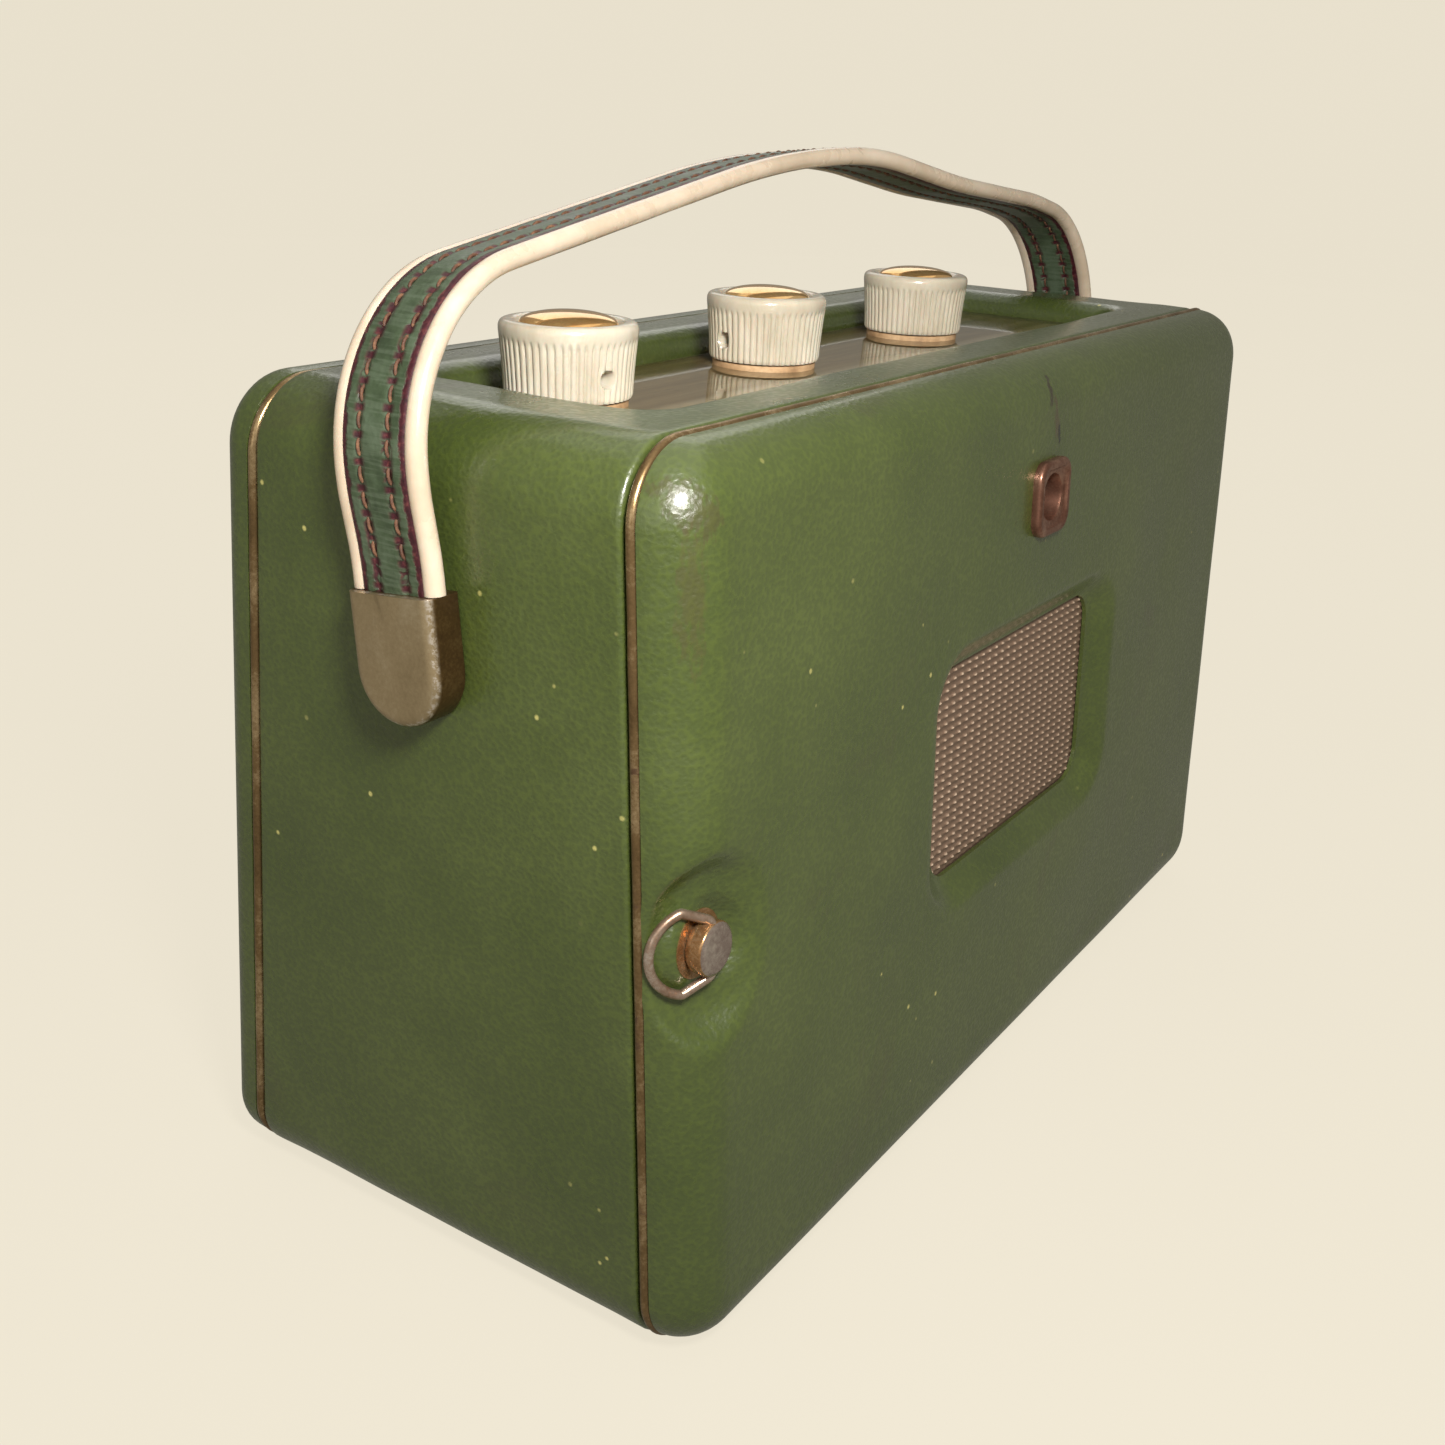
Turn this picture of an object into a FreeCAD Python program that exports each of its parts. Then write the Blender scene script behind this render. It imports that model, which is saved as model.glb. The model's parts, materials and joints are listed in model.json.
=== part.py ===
"""Portable transistor radio in a leathercloth-covered plywood case, with a hinged back and a strap handle.

Frame: millimetres, +Z up, origin at the centre of the flat base. -Y is the back, closed by the
hinged door, +Y is the loudspeaker front and +X is to the right of someone facing the back.
The back and the front both lean inwards, so the case is deeper at its base than at its top.
"""
import FreeCAD, Part

import math
import os
import re

import Sketcher
from FreeCAD import Placement, Rotation, Vector

doc = FreeCAD.newDocument("PortableRadio")
sheet = doc.addObject("Spreadsheet::Sheet", "Sizes")

SIZES = {
    # case
    "case_width": 280.0,
    "case_height": 174.0,
    "corner_radius": 13.5,
    "wall": 7.0,
    "rear_seam_base": 51.8,
    "rear_seam_top": 43.35,
    "front_seam_base": 51.8,
    "front_seam_top": 38.65,
    # dial well in the top
    "well_half_length": 110.8,
    "well_near": 27.3,
    "well_far": 23.8,
    "well_radius": 6.0,
    "well_rounding": 5.4,
    "window_top": 168.4,
    "window_thickness": 3.0,
    "bezel_width": 2.0,
    "bezel_top": 169.6,
    "dial_thickness": 0.8,
    # rear door
    "door_thickness": 13.2,
    "door_gap": 0.8,
    "door_lift": 0.6,
    "door_rounding": 11.7,
    "door_rim": 6.0,
    "door_skin": 5.4,
    "bead_width": 2.0,
    "bead_depth": 2.4,
    "bead_proud": 0.4,
    "vent_centre": 87.4,
    "vent_width": 84.0,
    "vent_tall": 49.5,
    "vent_flare": 9.0,
    "vent_corner": 8.0,
    "mesh_lap": 3.0,
    "mesh_thickness": 0.8,
    # front panel
    "front_thickness": 10.5,
    "front_rounding": 6.0,
    "grille_width": 232.0,
    "grille_tall": 118.0,
    "grille_centre": 87.0,
    "grille_corner": 9.0,
    "baffle_thickness": 6.0,
    # loudspeaker
    "speaker_x": -42.0,
    "speaker_up": 73.0,
    "speaker_radius": 62.0,
    "cone_radius": 54.0,
    "magnet_radius": 25.0,
    "magnet_length": 19.0,
    # controls
    "shaft_radius": 3.0,
    "running_gap": 0.05,
    "knob_y": 3.5,
    "volume_x": -94.0,
    "tuning_x": -24.0,
    "wave_x": 48.0,
    "knob_rim_radius": 13.4,
    "knob_foot_radius": 12.4,
    "knob_tall": 14.2,
    "knob_lift": 1.6,
    "flute_count": 54,
    "flute_width": 0.6,
    "flute_depth": 0.4,
    "dome_radius": 9.6,
    "chassis_top": 156.0,
    "chassis_thickness": 1.2,
    # handle
    "pivot_y": -2.1,
    "pivot_up": 129.0,
    "handle_lean": 5.9,
    "cap_width": 19.6,
    "cap_thickness": 8.0,
    "cap_rise": 14.0,
    "cap_gap": 0.4,
    "cap_skin": 2.0,
    "strap_width": 15.6,
    "strap_thickness": 3.6,
    "piping_radius": 1.9,
    "piping_lap": 1.4,
    # catch and hinges
    "ring_inset": 1.3,
    "catch_x": -130.0,
    "catch_up": 86.4,
    "catch_tilt": 24.0,
    "catch_depth": 5.5,
    "stud_radius": 5.1,
    "stud_tall": 4.2,
    "ring_wire": 0.9,
    "ring_half": 8.1,
    "ring_reach": 12.0,
    "ring_drape": 31.0,
    "hinge_x": 140.6,
    "hinge_barrel": 1.8,
    "hinge_pin": 0.9,
    "hinge_length": 30.0,
    "leaf_width": 11.0,
    "leaf_thickness": 0.4,
    # power and aerial
    "battery_width": 65.1,
    "battery_depth": 51.6,
    "battery_tall": 80.2,
    "battery_x": 88.0,
    "battery_y": -4.0,
    "tray_wall": 1.2,
    "socket_up": 144.0,
    "socket_bore": 4.8,
    "rod_radius": 4.75,
    "rod_length": 200.0,
    "rod_y": -33.0,
    "rod_up": 145.0,
}

for row, (alias, value) in enumerate(SIZES.items(), start=1):
    sheet.set(f"A{row}", alias)
    sheet.set(f"B{row}", str(value))
    sheet.setAlias(f"B{row}", alias)
doc.recompute()


def size(alias):
    """One driving dimension, read back from the sheet."""
    return float(sheet.get(alias))


def formula(text):
    """The expression for a formula written with the sheet's aliases."""
    names = re.compile(r"[a-z][a-z_]+")
    return names.sub(lambda word: f"Sizes.{word.group()}" if word.group() in SIZES else word.group(), text)


def bind(item, **formulas):
    """Tie properties of an object to the sheet."""
    for name, text in formulas.items():
        item.setExpression(name, formula(text))


# --- frames -----------------------------------------------------------------------------------

X_AXIS = Vector(1, 0, 0)
Y_AXIS = Vector(0, 1, 0)
Z_AXIS = Vector(0, 0, 1)
TURN = {
    "+x": Rotation(Y_AXIS, 90),
    "+y": Rotation(X_AXIS, -90),
    "-y": Rotation(X_AXIS, 90),
    "+z": Rotation(),
    "-z": Rotation(X_AXIS, 180),
}

rear_lean = math.degrees(math.atan2(size("rear_seam_base") - size("rear_seam_top"), size("case_height")))
front_lean = math.degrees(math.atan2(size("front_seam_base") - size("front_seam_top"), size("case_height")))
LEVEL = Placement()
REAR = Placement(Vector(0, -size("rear_seam_base"), 0), Rotation(X_AXIS, -rear_lean))
FRONT = Placement(Vector(0, size("front_seam_base"), 0), Rotation(X_AXIS, front_lean))
HANDLE = Placement(Vector(0, size("pivot_y"), size("pivot_up")), Rotation(X_AXIS, -size("handle_lean")))
ring_depth = size("ring_inset") - size("door_thickness") + size("catch_depth") - size("stud_tall")
CATCH_RING = REAR * Placement(
    Vector(size("catch_x"), ring_depth, size("catch_up")),
    Rotation(Z_AXIS, -size("ring_drape")),
)

# --- primitives bound to the sheet --------------------------------------------------------------

parts = []


def spot(item, corner, rotation=None):
    """Put an object at a point whose coordinates are formulas."""
    if rotation is not None:
        item.Placement = Placement(Vector(), rotation)
    for letter, text in zip("xyz", corner):
        item.setExpression(f"Placement.Base.{letter}", formula(str(text)))


def box(name, corner, length, width, height):
    item = doc.addObject("Part::Box", name)
    bind(item, Length=str(length), Width=str(width), Height=str(height))
    spot(item, corner)
    return item


def cylinder(name, start, radius, height, along="+z"):
    item = doc.addObject("Part::Cylinder", name)
    bind(item, Radius=str(radius), Height=str(height))
    spot(item, start, TURN[along])
    return item


def cone(name, start, radius_start, radius_end, height, along="+z"):
    item = doc.addObject("Part::Cone", name)
    bind(item, Radius1=str(radius_start), Radius2=str(radius_end), Height=str(height))
    spot(item, start, TURN[along])
    return item


def fuse(name, *pieces):
    item = doc.addObject("Part::MultiFuse", name)
    item.Shapes = list(pieces)
    return item


def cut(name, base, *tools):
    """Base less its tools."""
    item = doc.addObject("Part::Cut", name)
    item.Base = base
    item.Tool = tools[0] if len(tools) == 1 else fuse(f"{name}_tools", *tools)
    return item


def part(node, item, place=LEVEL):
    """Name an object as one sub-part and set where it stands.

    One that is placed by formulas, or that also serves as a cutting tool, is held in a compound.
    """
    if item.InList or any(path.lstrip(".").startswith("Placement") for path, text in item.ExpressionEngine):
        holder = doc.addObject("Part::Compound", f"{node}_holder")
        holder.Links = [item]
        item = holder
    item.Label = node
    item.Placement = place
    parts.append(item)
    return item


def feature(node, shape, place=LEVEL):
    """A sub-part whose outline needs Part's own functions."""
    item = doc.addObject("Part::Feature", f"{node}_shape")
    item.Shape = shape
    return part(node, item, place)


# --- sketched bodies ----------------------------------------------------------------------------

ORIGIN_POINT = (-1, 1)


def new_body(name):
    return doc.addObject("PartDesign::Body", name)


def new_sketch(body, name, plane, offset="0"):
    """A sketch on one of the body's own origin planes, moved along that plane's normal."""
    sketch = body.newObject("Sketcher::SketchObject", name)
    role = next(item for item in body.Origin.OriginFeatures if item.Role == plane)
    sketch.AttachmentSupport = [(role, "")]
    sketch.MapMode = "FlatFace"
    sketch.setExpression("AttachmentOffset.Base.z", formula(offset))
    return sketch


def pin_point(sketch, geometry, end, across, up):
    """Fix a point of the sketch at two formulas."""
    for kind, text in (("DistanceX", across), ("DistanceY", up)):
        index = sketch.addConstraint(Sketcher.Constraint(kind, *ORIGIN_POINT, geometry, end, 1.0))
        sketch.setExpression(f"Constraints[{index}]", formula(text))


def draw_polygon(sketch, corners):
    """A closed outline of straight lines through corners given as formulas."""
    count = len(corners)
    first = sketch.GeometryCount
    for step in range(count):
        angle = 2 * math.pi * step / count
        after = 2 * math.pi * (step + 1) / count
        start = Vector(math.cos(angle), math.sin(angle), 0)
        end = Vector(math.cos(after), math.sin(after), 0)
        sketch.addGeometry(Part.LineSegment(start, end), False)
    for step in range(count):
        following = first + (step + 1) % count
        sketch.addConstraint(Sketcher.Constraint("Coincident", first + step, 2, following, 1))
    for step, (across, up) in enumerate(corners):
        pin_point(sketch, first + step, 1, across, up)


def draw_circle(sketch, across, up, radius):
    index = sketch.addGeometry(Part.Circle(Vector(0, 0, 0), Z_AXIS, 1.0), False)
    pin_point(sketch, index, 3, across, up)
    rule = sketch.addConstraint(Sketcher.Constraint("Radius", index, 1.0))
    sketch.setExpression(f"Constraints[{rule}]", formula(radius))


def draw_rounded_rectangle(sketch, left, right, low, high, radius):
    """Four lines joined by four tangent arcs, with its sides and radius given as formulas."""
    first = sketch.GeometryCount
    reach, bend = 10.0, 2.0
    inner = reach - bend
    for turn in range(4):
        spin = Rotation(Z_AXIS, 90 * turn)
        start = spin.multVec(Vector(-inner, -reach, 0))
        end = spin.multVec(Vector(inner, -reach, 0))
        sketch.addGeometry(Part.LineSegment(start, end), False)
        centre = spin.multVec(Vector(inner, -inner, 0))
        circle = Part.Circle(centre, Z_AXIS, bend)
        from_angle = math.radians(90 * turn - 90)
        sketch.addGeometry(Part.ArcOfCircle(circle, from_angle, from_angle + math.pi / 2), False)
    for turn in range(4):
        line = first + 2 * turn
        arc = line + 1
        sketch.addConstraint(Sketcher.Constraint("Tangent", line, 2, arc, 1))
        sketch.addConstraint(Sketcher.Constraint("Tangent", arc, 2, first + (2 * turn + 2) % 8, 1))
        sketch.addConstraint(Sketcher.Constraint("Horizontal" if turn % 2 == 0 else "Vertical", line))
    for turn in range(1, 4):
        sketch.addConstraint(Sketcher.Constraint("Equal", first + 1, first + 2 * turn + 1))
    rule = sketch.addConstraint(Sketcher.Constraint("Radius", first + 1, bend))
    sketch.setExpression(f"Constraints[{rule}]", formula(radius))
    sides = (("DistanceY", 0, low), ("DistanceX", 2, right), ("DistanceY", 4, high), ("DistanceX", 6, left))
    for kind, line, text in sides:
        index = sketch.addConstraint(Sketcher.Constraint(kind, *ORIGIN_POINT, first + line, 1, 1.0))
        sketch.setExpression(f"Constraints[{index}]", formula(text))


def pad(body, name, sketch, length, both_ways=False):
    item = body.newObject("PartDesign::Pad", name)
    item.Profile = sketch
    item.Midplane = both_ways
    bind(item, Length=length)
    doc.recompute()
    return item


def pocket(body, name, sketch, length=None, flip=False):
    """Cut a sketch into the body: right through, or one way to a depth. It must remove material."""
    before = body.Shape.Volume
    item = body.newObject("PartDesign::Pocket", name)
    item.Profile = sketch
    if length is None:
        item.Type = "ThroughAll"
        item.Midplane = True
    else:
        bind(item, Length=length)
        item.Reversed = flip
    doc.recompute()
    if body.Shape.Volume > before - 1e-3:
        raise RuntimeError(f"{name} removes nothing")
    return item


def round_edges(body, name, base, edges, radius):
    item = body.newObject("PartDesign::Fillet", name)
    item.Base = (base, edges)
    bind(item, Radius=radius)
    doc.recompute()
    return item


def edges_where(base, test):
    return [f"Edge{number}" for number, edge in enumerate(base.Shape.Edges, start=1) if test(edge)]


def runs_along(edge, axis):
    """Whether an edge is a straight run along an axis."""
    if edge.Curve.TypeId != "Part::GeomLine":
        return False
    return abs(edge.Curve.Direction.dot(axis)) > 0.999


def lies_at(edge, axis, level):
    """Whether a whole edge lies at one level along an axis."""
    box_of_edge = edge.BoundBox
    low = Vector(box_of_edge.XMin, box_of_edge.YMin, box_of_edge.ZMin).dot(axis)
    high = Vector(box_of_edge.XMax, box_of_edge.YMax, box_of_edge.ZMax).dot(axis)
    return abs(low - level) < 0.01 and abs(high - level) < 0.01


def panel(name, left, right, low, high, radius, start, thickness, opening=None):
    """A rounded rectangular slab that stands in XZ, from start towards -Y, with an optional opening."""
    body = new_body(name)
    sketch = new_sketch(body, f"{name}_outline", "XZ_Plane", start)
    draw_rounded_rectangle(sketch, left, right, low, high, radius)
    if opening:
        draw_rounded_rectangle(sketch, *opening)
    pad(body, f"{name}_slab", sketch, thickness)
    return body


def turned(name, outline, along="+z", start=("0", "0", "0")):
    """A solid of revolution: outline is a list of (radius, height) formulas."""
    body = new_body(name)
    sketch = new_sketch(body, f"{name}_outline", "XZ_Plane")
    draw_polygon(sketch, outline)
    doc.recompute()
    revolution = body.newObject("PartDesign::Revolution", f"{name}_turning")
    revolution.Profile = sketch
    revolution.ReferenceAxis = (sketch, ["V_Axis"])
    revolution.Angle = 360
    doc.recompute()
    spot(body, start, TURN[along])
    return body


# --- screws: the holes in the pieces they hold are cut with them ----------------------------------


def placed_screws(name, places, head_radius, head_height, shank_radius, shank_length):
    """Round-headed screws, one solid each; every place carries the head's seat, shank along +Z."""
    screws = []
    for number, place in enumerate(places, start=1):
        seat = ("0", "0", f"-{head_height}")
        head = cone(f"{name}_head_{number}", seat, head_radius * 0.7, head_radius, head_height)
        shank = cylinder(f"{name}_shank_{number}", ("0", "0", "0"), shank_radius, shank_length)
        screw = fuse(f"{name}_{number}", head, shank)
        screw.Placement = place
        screws.append(screw)
    return fuse(name, *screws)


SPEAKER_BOLT_CIRCLE = size("speaker_radius") - 3.5
speaker_seat = Vector(size("speaker_x"), -size("baffle_thickness") - 1.2, size("speaker_up"))
speaker_screw_places = [
    FRONT * Placement(
        speaker_seat + SPEAKER_BOLT_CIRCLE * Vector(math.cos(math.radians(a)), 0, math.sin(math.radians(a))),
        TURN["+y"],
    )
    for a in (45, 135, 225, 315)
]
SIDE_INNER = size("case_width") / 2 - size("wall")
BRACKET_THICKNESS = 1.5
BRACKET_SCREW_Y = (-20.0, 14.0)
BRACKET_SCREW_UP = 146.0
BRACKET_SCREW_X = SIDE_INNER - BRACKET_THICKNESS
bracket_screw_places = [
    Placement(Vector(side * BRACKET_SCREW_X, y, BRACKET_SCREW_UP), Rotation(Y_AXIS, 90 * side))
    for side in (-1, 1)
    for y in BRACKET_SCREW_Y
]
HINGE_UPS = (38.0, 136.0)
HINGE_SCREW_X = size("hinge_x") - 5.4
hinge_screw_ups = [middle + shift for middle in HINGE_UPS for shift in (-9.0, 9.0)]
case_leaf_screw_places = [
    REAR * Placement(Vector(HINGE_SCREW_X, 0, up), TURN["+y"]) for up in hinge_screw_ups
]
door_leaf_screw_places = [
    Placement(Vector(HINGE_SCREW_X, -size("door_gap"), up), TURN["-y"]) for up in hinge_screw_ups
]
KEEPER_FLANGE_UPS = (-15.0, 15.0)
keeper_screw_places = [
    REAR * Placement(Vector(-SIDE_INNER + 1.2, 8.0, size("catch_up") + shift), Rotation(Y_AXIS, -90))
    for shift in KEEPER_FLANGE_UPS
]

# head radius, head height, shank radius and shank length
WOOD_SCREW = (2.6, 1.4, 1.4, 5.0)
CASE_LEAF_SCREW = (1.6, 0.35, 0.9, 5.0)
DOOR_LEAF_SCREW = (1.6, 0.35, 0.9, 4.5)


def seen_from(frame, places):
    """Places of the part's own frame, in a leaned frame."""
    return [frame.inverse() * place for place in places]


wood_screw_places = speaker_screw_places + bracket_screw_places + keeper_screw_places
wood_screws = placed_screws("case_wood_screws_set", wood_screw_places, *WOOD_SCREW)
leaf_screws_case = placed_screws("case_leaf_screws_set", case_leaf_screw_places, *CASE_LEAF_SCREW)
leaf_screws_door = placed_screws("door_leaf_screws_set", door_leaf_screw_places, *DOOR_LEAF_SCREW)

# --- case -----------------------------------------------------------------------------------------


def make_case_shell():
    body = new_body("case_shell_body")
    side = new_sketch(body, "case_side", "YZ_Plane")
    draw_polygon(side, [
        ("-rear_seam_base", "0"),
        ("front_seam_base", "0"),
        ("front_seam_top", "case_height"),
        ("-rear_seam_top", "case_height"),
    ])
    block = pad(body, "case_block", side, "case_width", both_ways=True)
    corners = edges_where(block, lambda edge: runs_along(edge, Y_AXIS))
    round_edges(body, "case_corners", block, corners, "corner_radius")
    hollow = new_sketch(body, "case_hollow", "XZ_Plane")
    side_in = "case_width / 2 - wall"
    draw_rounded_rectangle(
        hollow, f"-({side_in})", side_in, "wall", "case_height - wall", "corner_radius - wall"
    )
    pocket(body, "case_inside", hollow)
    well = new_sketch(body, "well_outline", "XY_Plane", "case_height")
    draw_rounded_rectangle(
        well, "-well_half_length", "well_half_length", "-well_near", "well_far", "well_radius"
    )
    opening = pocket(body, "well_opening", well, "wall + 1")
    rim = edges_where(opening, lambda edge: lies_at(edge, Z_AXIS, size("case_height")) and near_well(edge))
    round_edges(body, "well_rim", opening, rim, "well_rounding")
    pivots = new_sketch(body, "pivot_circle", "YZ_Plane")
    draw_circle(pivots, "pivot_y", "pivot_up", "shaft_radius")
    pocket(body, "pivot_holes", pivots)
    return body


def near_well(edge):
    """Whether an edge belongs to the dial well's mouth."""
    middle = edge.CenterOfMass
    inside_length = abs(middle.x) < size("well_half_length") + 1
    return inside_length and -size("well_near") - 1 < middle.y < size("well_far") + 1


def hinge_notches(name, first, depth):
    """Room for the hinge barrels and leaves along the right-hand seam, from first over depth in Y."""
    pieces = []
    for number, middle in enumerate(HINGE_UPS, start=1):
        low = f"{middle} - hinge_length / 2 - 0.3"
        tall = "hinge_length + 0.6"
        barrel = cylinder(
            f"{name}_barrel_{number}", ("hinge_x", "0", low), "hinge_barrel + 0.35", tall
        )
        corner = ("hinge_x - leaf_width - 0.2", first, low)
        leaf = box(f"{name}_leaf_{number}", corner, "leaf_width + 0.2", depth, tall)
        pieces += [barrel, leaf]
    return pieces


case_body = make_case_shell()
case_notches = fuse("case_notches", *hinge_notches("case_notch", "-0.5", "leaf_thickness + 0.5"))
case_notches.Placement = REAR
mortise = box("catch_mortise", ("-case_width / 2 + 3", "1.2", "catch_up - 6.5"), "wall", "7", "13")
keeper_seat = box("keeper_seat", ("-case_width / 2 + 2.6", "-0.5", "catch_up - 19"), "wall", "1.7", "38")
keeper_room = fuse("keeper_room", mortise, keeper_seat)
keeper_room.Placement = REAR
case_cut = cut("case_shell_cut", case_body, case_notches, keeper_room, wood_screws, leaf_screws_case)
part("case_shell", case_cut)

part("case_screws", fuse("case_screw_set", wood_screws, leaf_screws_case))

# --- front panel, bead, baffle and grille (in the front frame, +Y outwards) -------------------------

HALF = "case_width / 2"


def make_front_panel():
    opening = (
        "-grille_width / 2", "grille_width / 2", "grille_centre - grille_tall / 2",
        "grille_centre + grille_tall / 2", "grille_corner",
    )
    body = panel(
        "front_panel_body", f"-{HALF}", HALF, "0.3", "case_height - 0.2", "corner_radius",
        "-front_thickness", "front_thickness", opening,
    )
    slab = body.Tip
    outer = edges_where(slab, lambda edge: lies_at(edge, Y_AXIS, size("front_thickness")))
    round_edges(body, "front_rounding_edges", slab, outer, "front_rounding")
    return body


def seam_ring(name, start, low, high, proud):
    """A square-edged ring that follows the seam, standing proud of the case by a formula."""
    half_outer = f"{HALF} + {proud}"
    half_inner = f"{HALF} - bead_depth"
    body = new_body(name)
    sketch = new_sketch(body, f"{name}_outline", "XZ_Plane", start)
    draw_rounded_rectangle(
        sketch, f"-({half_outer})", half_outer, f"{low} - {proud}", f"{high} + {proud}",
        f"corner_radius + {proud}",
    )
    draw_rounded_rectangle(
        sketch, f"-({half_inner})", half_inner, f"{low} + bead_depth", f"{high} - bead_depth",
        "corner_radius - bead_depth",
    )
    pad(body, f"{name}_ring", sketch, "bead_width")
    return body


def make_bead(name, start, low, high):
    """A brass bead round the whole seam, a little proud of the case."""
    body = seam_ring(name, start, low, high, "bead_proud")
    ring = body.Tip
    reach = size("case_width") / 2 + size("bead_proud")
    outer = [
        edge_name for edge_name in edges_where(ring, lambda edge: on_outline(edge, reach))
        if not runs_along(ring.Shape.getElement(edge_name), Y_AXIS)
    ]
    round_edges(body, f"{name}_round", ring, outer, "bead_width / 2 - 0.15")
    return body


def on_outline(edge, reach):
    """Whether an edge lies on a bead's outer line, whose sides are at -reach and reach."""
    if edge.BoundBox.XMax > reach - 0.01 or edge.BoundBox.XMin < 0.01 - reach:
        return True
    middle = edge.CenterOfMass
    return edge.Length > 100 and not 1.0 < middle.z < size("case_height") - 1.0


front_bead = make_bead("front_bead_body", "-bead_width", "0.7", "case_height - 0.4")
front_body = make_front_panel()
part("front_bead", front_bead, FRONT)
front_bead_tool = seam_ring("front_rebate_body", "-bead_width", "0.7", "case_height - 0.4", "2")
part("front_panel", cut("front_panel_cut", front_body, front_bead_tool), FRONT)

baffle_board = panel(
    "baffle_body", "wall + 0.2 - case_width / 2", "case_width / 2 - wall - 0.2", "wall + 0.8",
    "case_height - wall - 6", "corner_radius - wall", "0", "baffle_thickness",
)
speaker_hole = cylinder(
    "speaker_hole", ("speaker_x", "1", "speaker_up"), "cone_radius + 1", "baffle_thickness + 2", "-y"
)
front_screws = placed_screws("speaker_screw_tool", seen_from(FRONT, speaker_screw_places), *WOOD_SCREW)
part("baffle_board", cut("baffle_cut", baffle_board, speaker_hole, front_screws), FRONT)

grille = panel(
    "speaker_grille_body", "1 - grille_width / 2", "grille_width / 2 - 1",
    "grille_centre - grille_tall / 2 + 1", "grille_centre + grille_tall / 2 - 1", "grille_corner - 1",
    "-2.0", "2.0",
)
part("speaker_grille", grille, FRONT)

# --- loudspeaker (turned about its axis, facing forwards) ---------------------------------------------

SPEAKER_START = ("speaker_x", "-baffle_thickness", "speaker_up")
BACK = "-y"


def make_speaker_basket():
    basket = turned("basket_body", [
        ("cone_radius", "0"),
        ("speaker_radius", "0"),
        ("speaker_radius", "1.2"),
        ("cone_radius + 1.6", "1.2"),
        ("magnet_radius + 1", "24"),
        ("magnet_radius + 1", "25.4"),
        ("11", "25.4"),
        ("11", "24"),
        ("magnet_radius", "24"),
    ], BACK, SPEAKER_START)
    windows = []
    for step in range(4):
        window = box(f"basket_window_{step}", ("-9", "-70", "7"), "18", "140", "13")
        holder = doc.addObject("Part::Compound", f"basket_window_turn_{step}")
        holder.Links = [window]
        holder.Placement = Placement(
            Vector(size("speaker_x"), -size("baffle_thickness"), size("speaker_up")),
            TURN[BACK] * Rotation(Z_AXIS, 45 * step),
        )
        windows.append(holder)
    return cut("basket_cut", basket, front_screws, *windows)


part("speaker_basket", make_speaker_basket(), FRONT)
cone_body = turned("cone_body", [
    ("cone_radius - 2", "0.2"),
    ("cone_radius - 2", "0.8"),
    ("cone_radius - 5", "0.8"),
    ("12.6", "21.5"),
    ("10.4", "21.5"),
    ("10.4", "29"),
    ("9.8", "29"),
    ("9.8", "20.9"),
    ("12.2", "20.9"),
    ("cone_radius - 5.4", "0.2"),
], BACK, SPEAKER_START)
part("speaker_cone", cone_body, FRONT)
magnet_body = turned("magnet_body", [
    ("magnet_radius", "25.4"),
    ("magnet_radius", "25.4 + magnet_length"),
    ("0.001", "25.4 + magnet_length"),
    ("0.001", "25.0"),
    ("9", "25.0"),
    ("9", "31"),
    ("11.2", "31"),
    ("11.2", "25.4"),
], BACK, SPEAKER_START)
part("speaker_magnet", magnet_body, FRONT)

# --- dial ---------------------------------------------------------------------------------------------

KNOBS = {"volume": "volume_x", "tuning": "tuning_x", "wave": "wave_x"}


def shaft_holes(name, low, height, radius):
    return [
        cylinder(f"{name}_{knob}", (across, "knob_y", low), radius, height)
        for knob, across in KNOBS.items()
    ]


def flat_plate(name, left, right, near, far, radius, low, thickness, opening=None):
    """A rounded rectangular plate lying in XY, from low upwards."""
    body = new_body(name)
    sketch = new_sketch(body, f"{name}_outline", "XY_Plane", low)
    draw_rounded_rectangle(sketch, left, right, near, far, radius)
    if opening:
        draw_rounded_rectangle(sketch, *opening)
    pad(body, f"{name}_slab", sketch, thickness)
    return body


WINDOW_LOW = "window_top - window_thickness"
inside_bezel = (
    "bezel_width + 0.2 - well_half_length", "well_half_length - bezel_width - 0.2",
    "bezel_width + 0.2 - well_near", "well_far - bezel_width - 0.2", "well_radius - bezel_width",
)
lip = flat_plate(
    "bezel_lip", "0.2 - well_half_length", "well_half_length - 0.2", "0.2 - well_near", "well_far - 0.2",
    "well_radius - 0.2", WINDOW_LOW, f"bezel_top - ({WINDOW_LOW})", inside_bezel,
)
flange = flat_plate(
    "bezel_flange", "-well_half_length - 5", "well_half_length + 5", "-well_near - 5", "well_far + 5",
    "well_radius", WINDOW_LOW, f"case_height - wall - ({WINDOW_LOW})", inside_bezel,
)
part("dial_bezel", fuse("bezel_fuse", lip, flange))
window = flat_plate("window_body", *inside_bezel, WINDOW_LOW, "window_thickness")
SHAFT_HOLE = "shaft_radius + 0.6"
window_holes = shaft_holes("window_hole", WINDOW_LOW, "window_thickness", SHAFT_HOLE)
part("dial_window", cut("window_cut", window, *window_holes))
DIAL_LOW = f"{WINDOW_LOW} - dial_thickness"
dial = flat_plate(
    "dial_body", "-well_half_length - 4", "well_half_length + 4", "-well_near - 4", "well_far + 4",
    "well_radius", DIAL_LOW, "dial_thickness",
)
dial_holes = shaft_holes("dial_hole", DIAL_LOW, "dial_thickness", SHAFT_HOLE)
part("dial_plate", cut("dial_cut", dial, *dial_holes))

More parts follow.
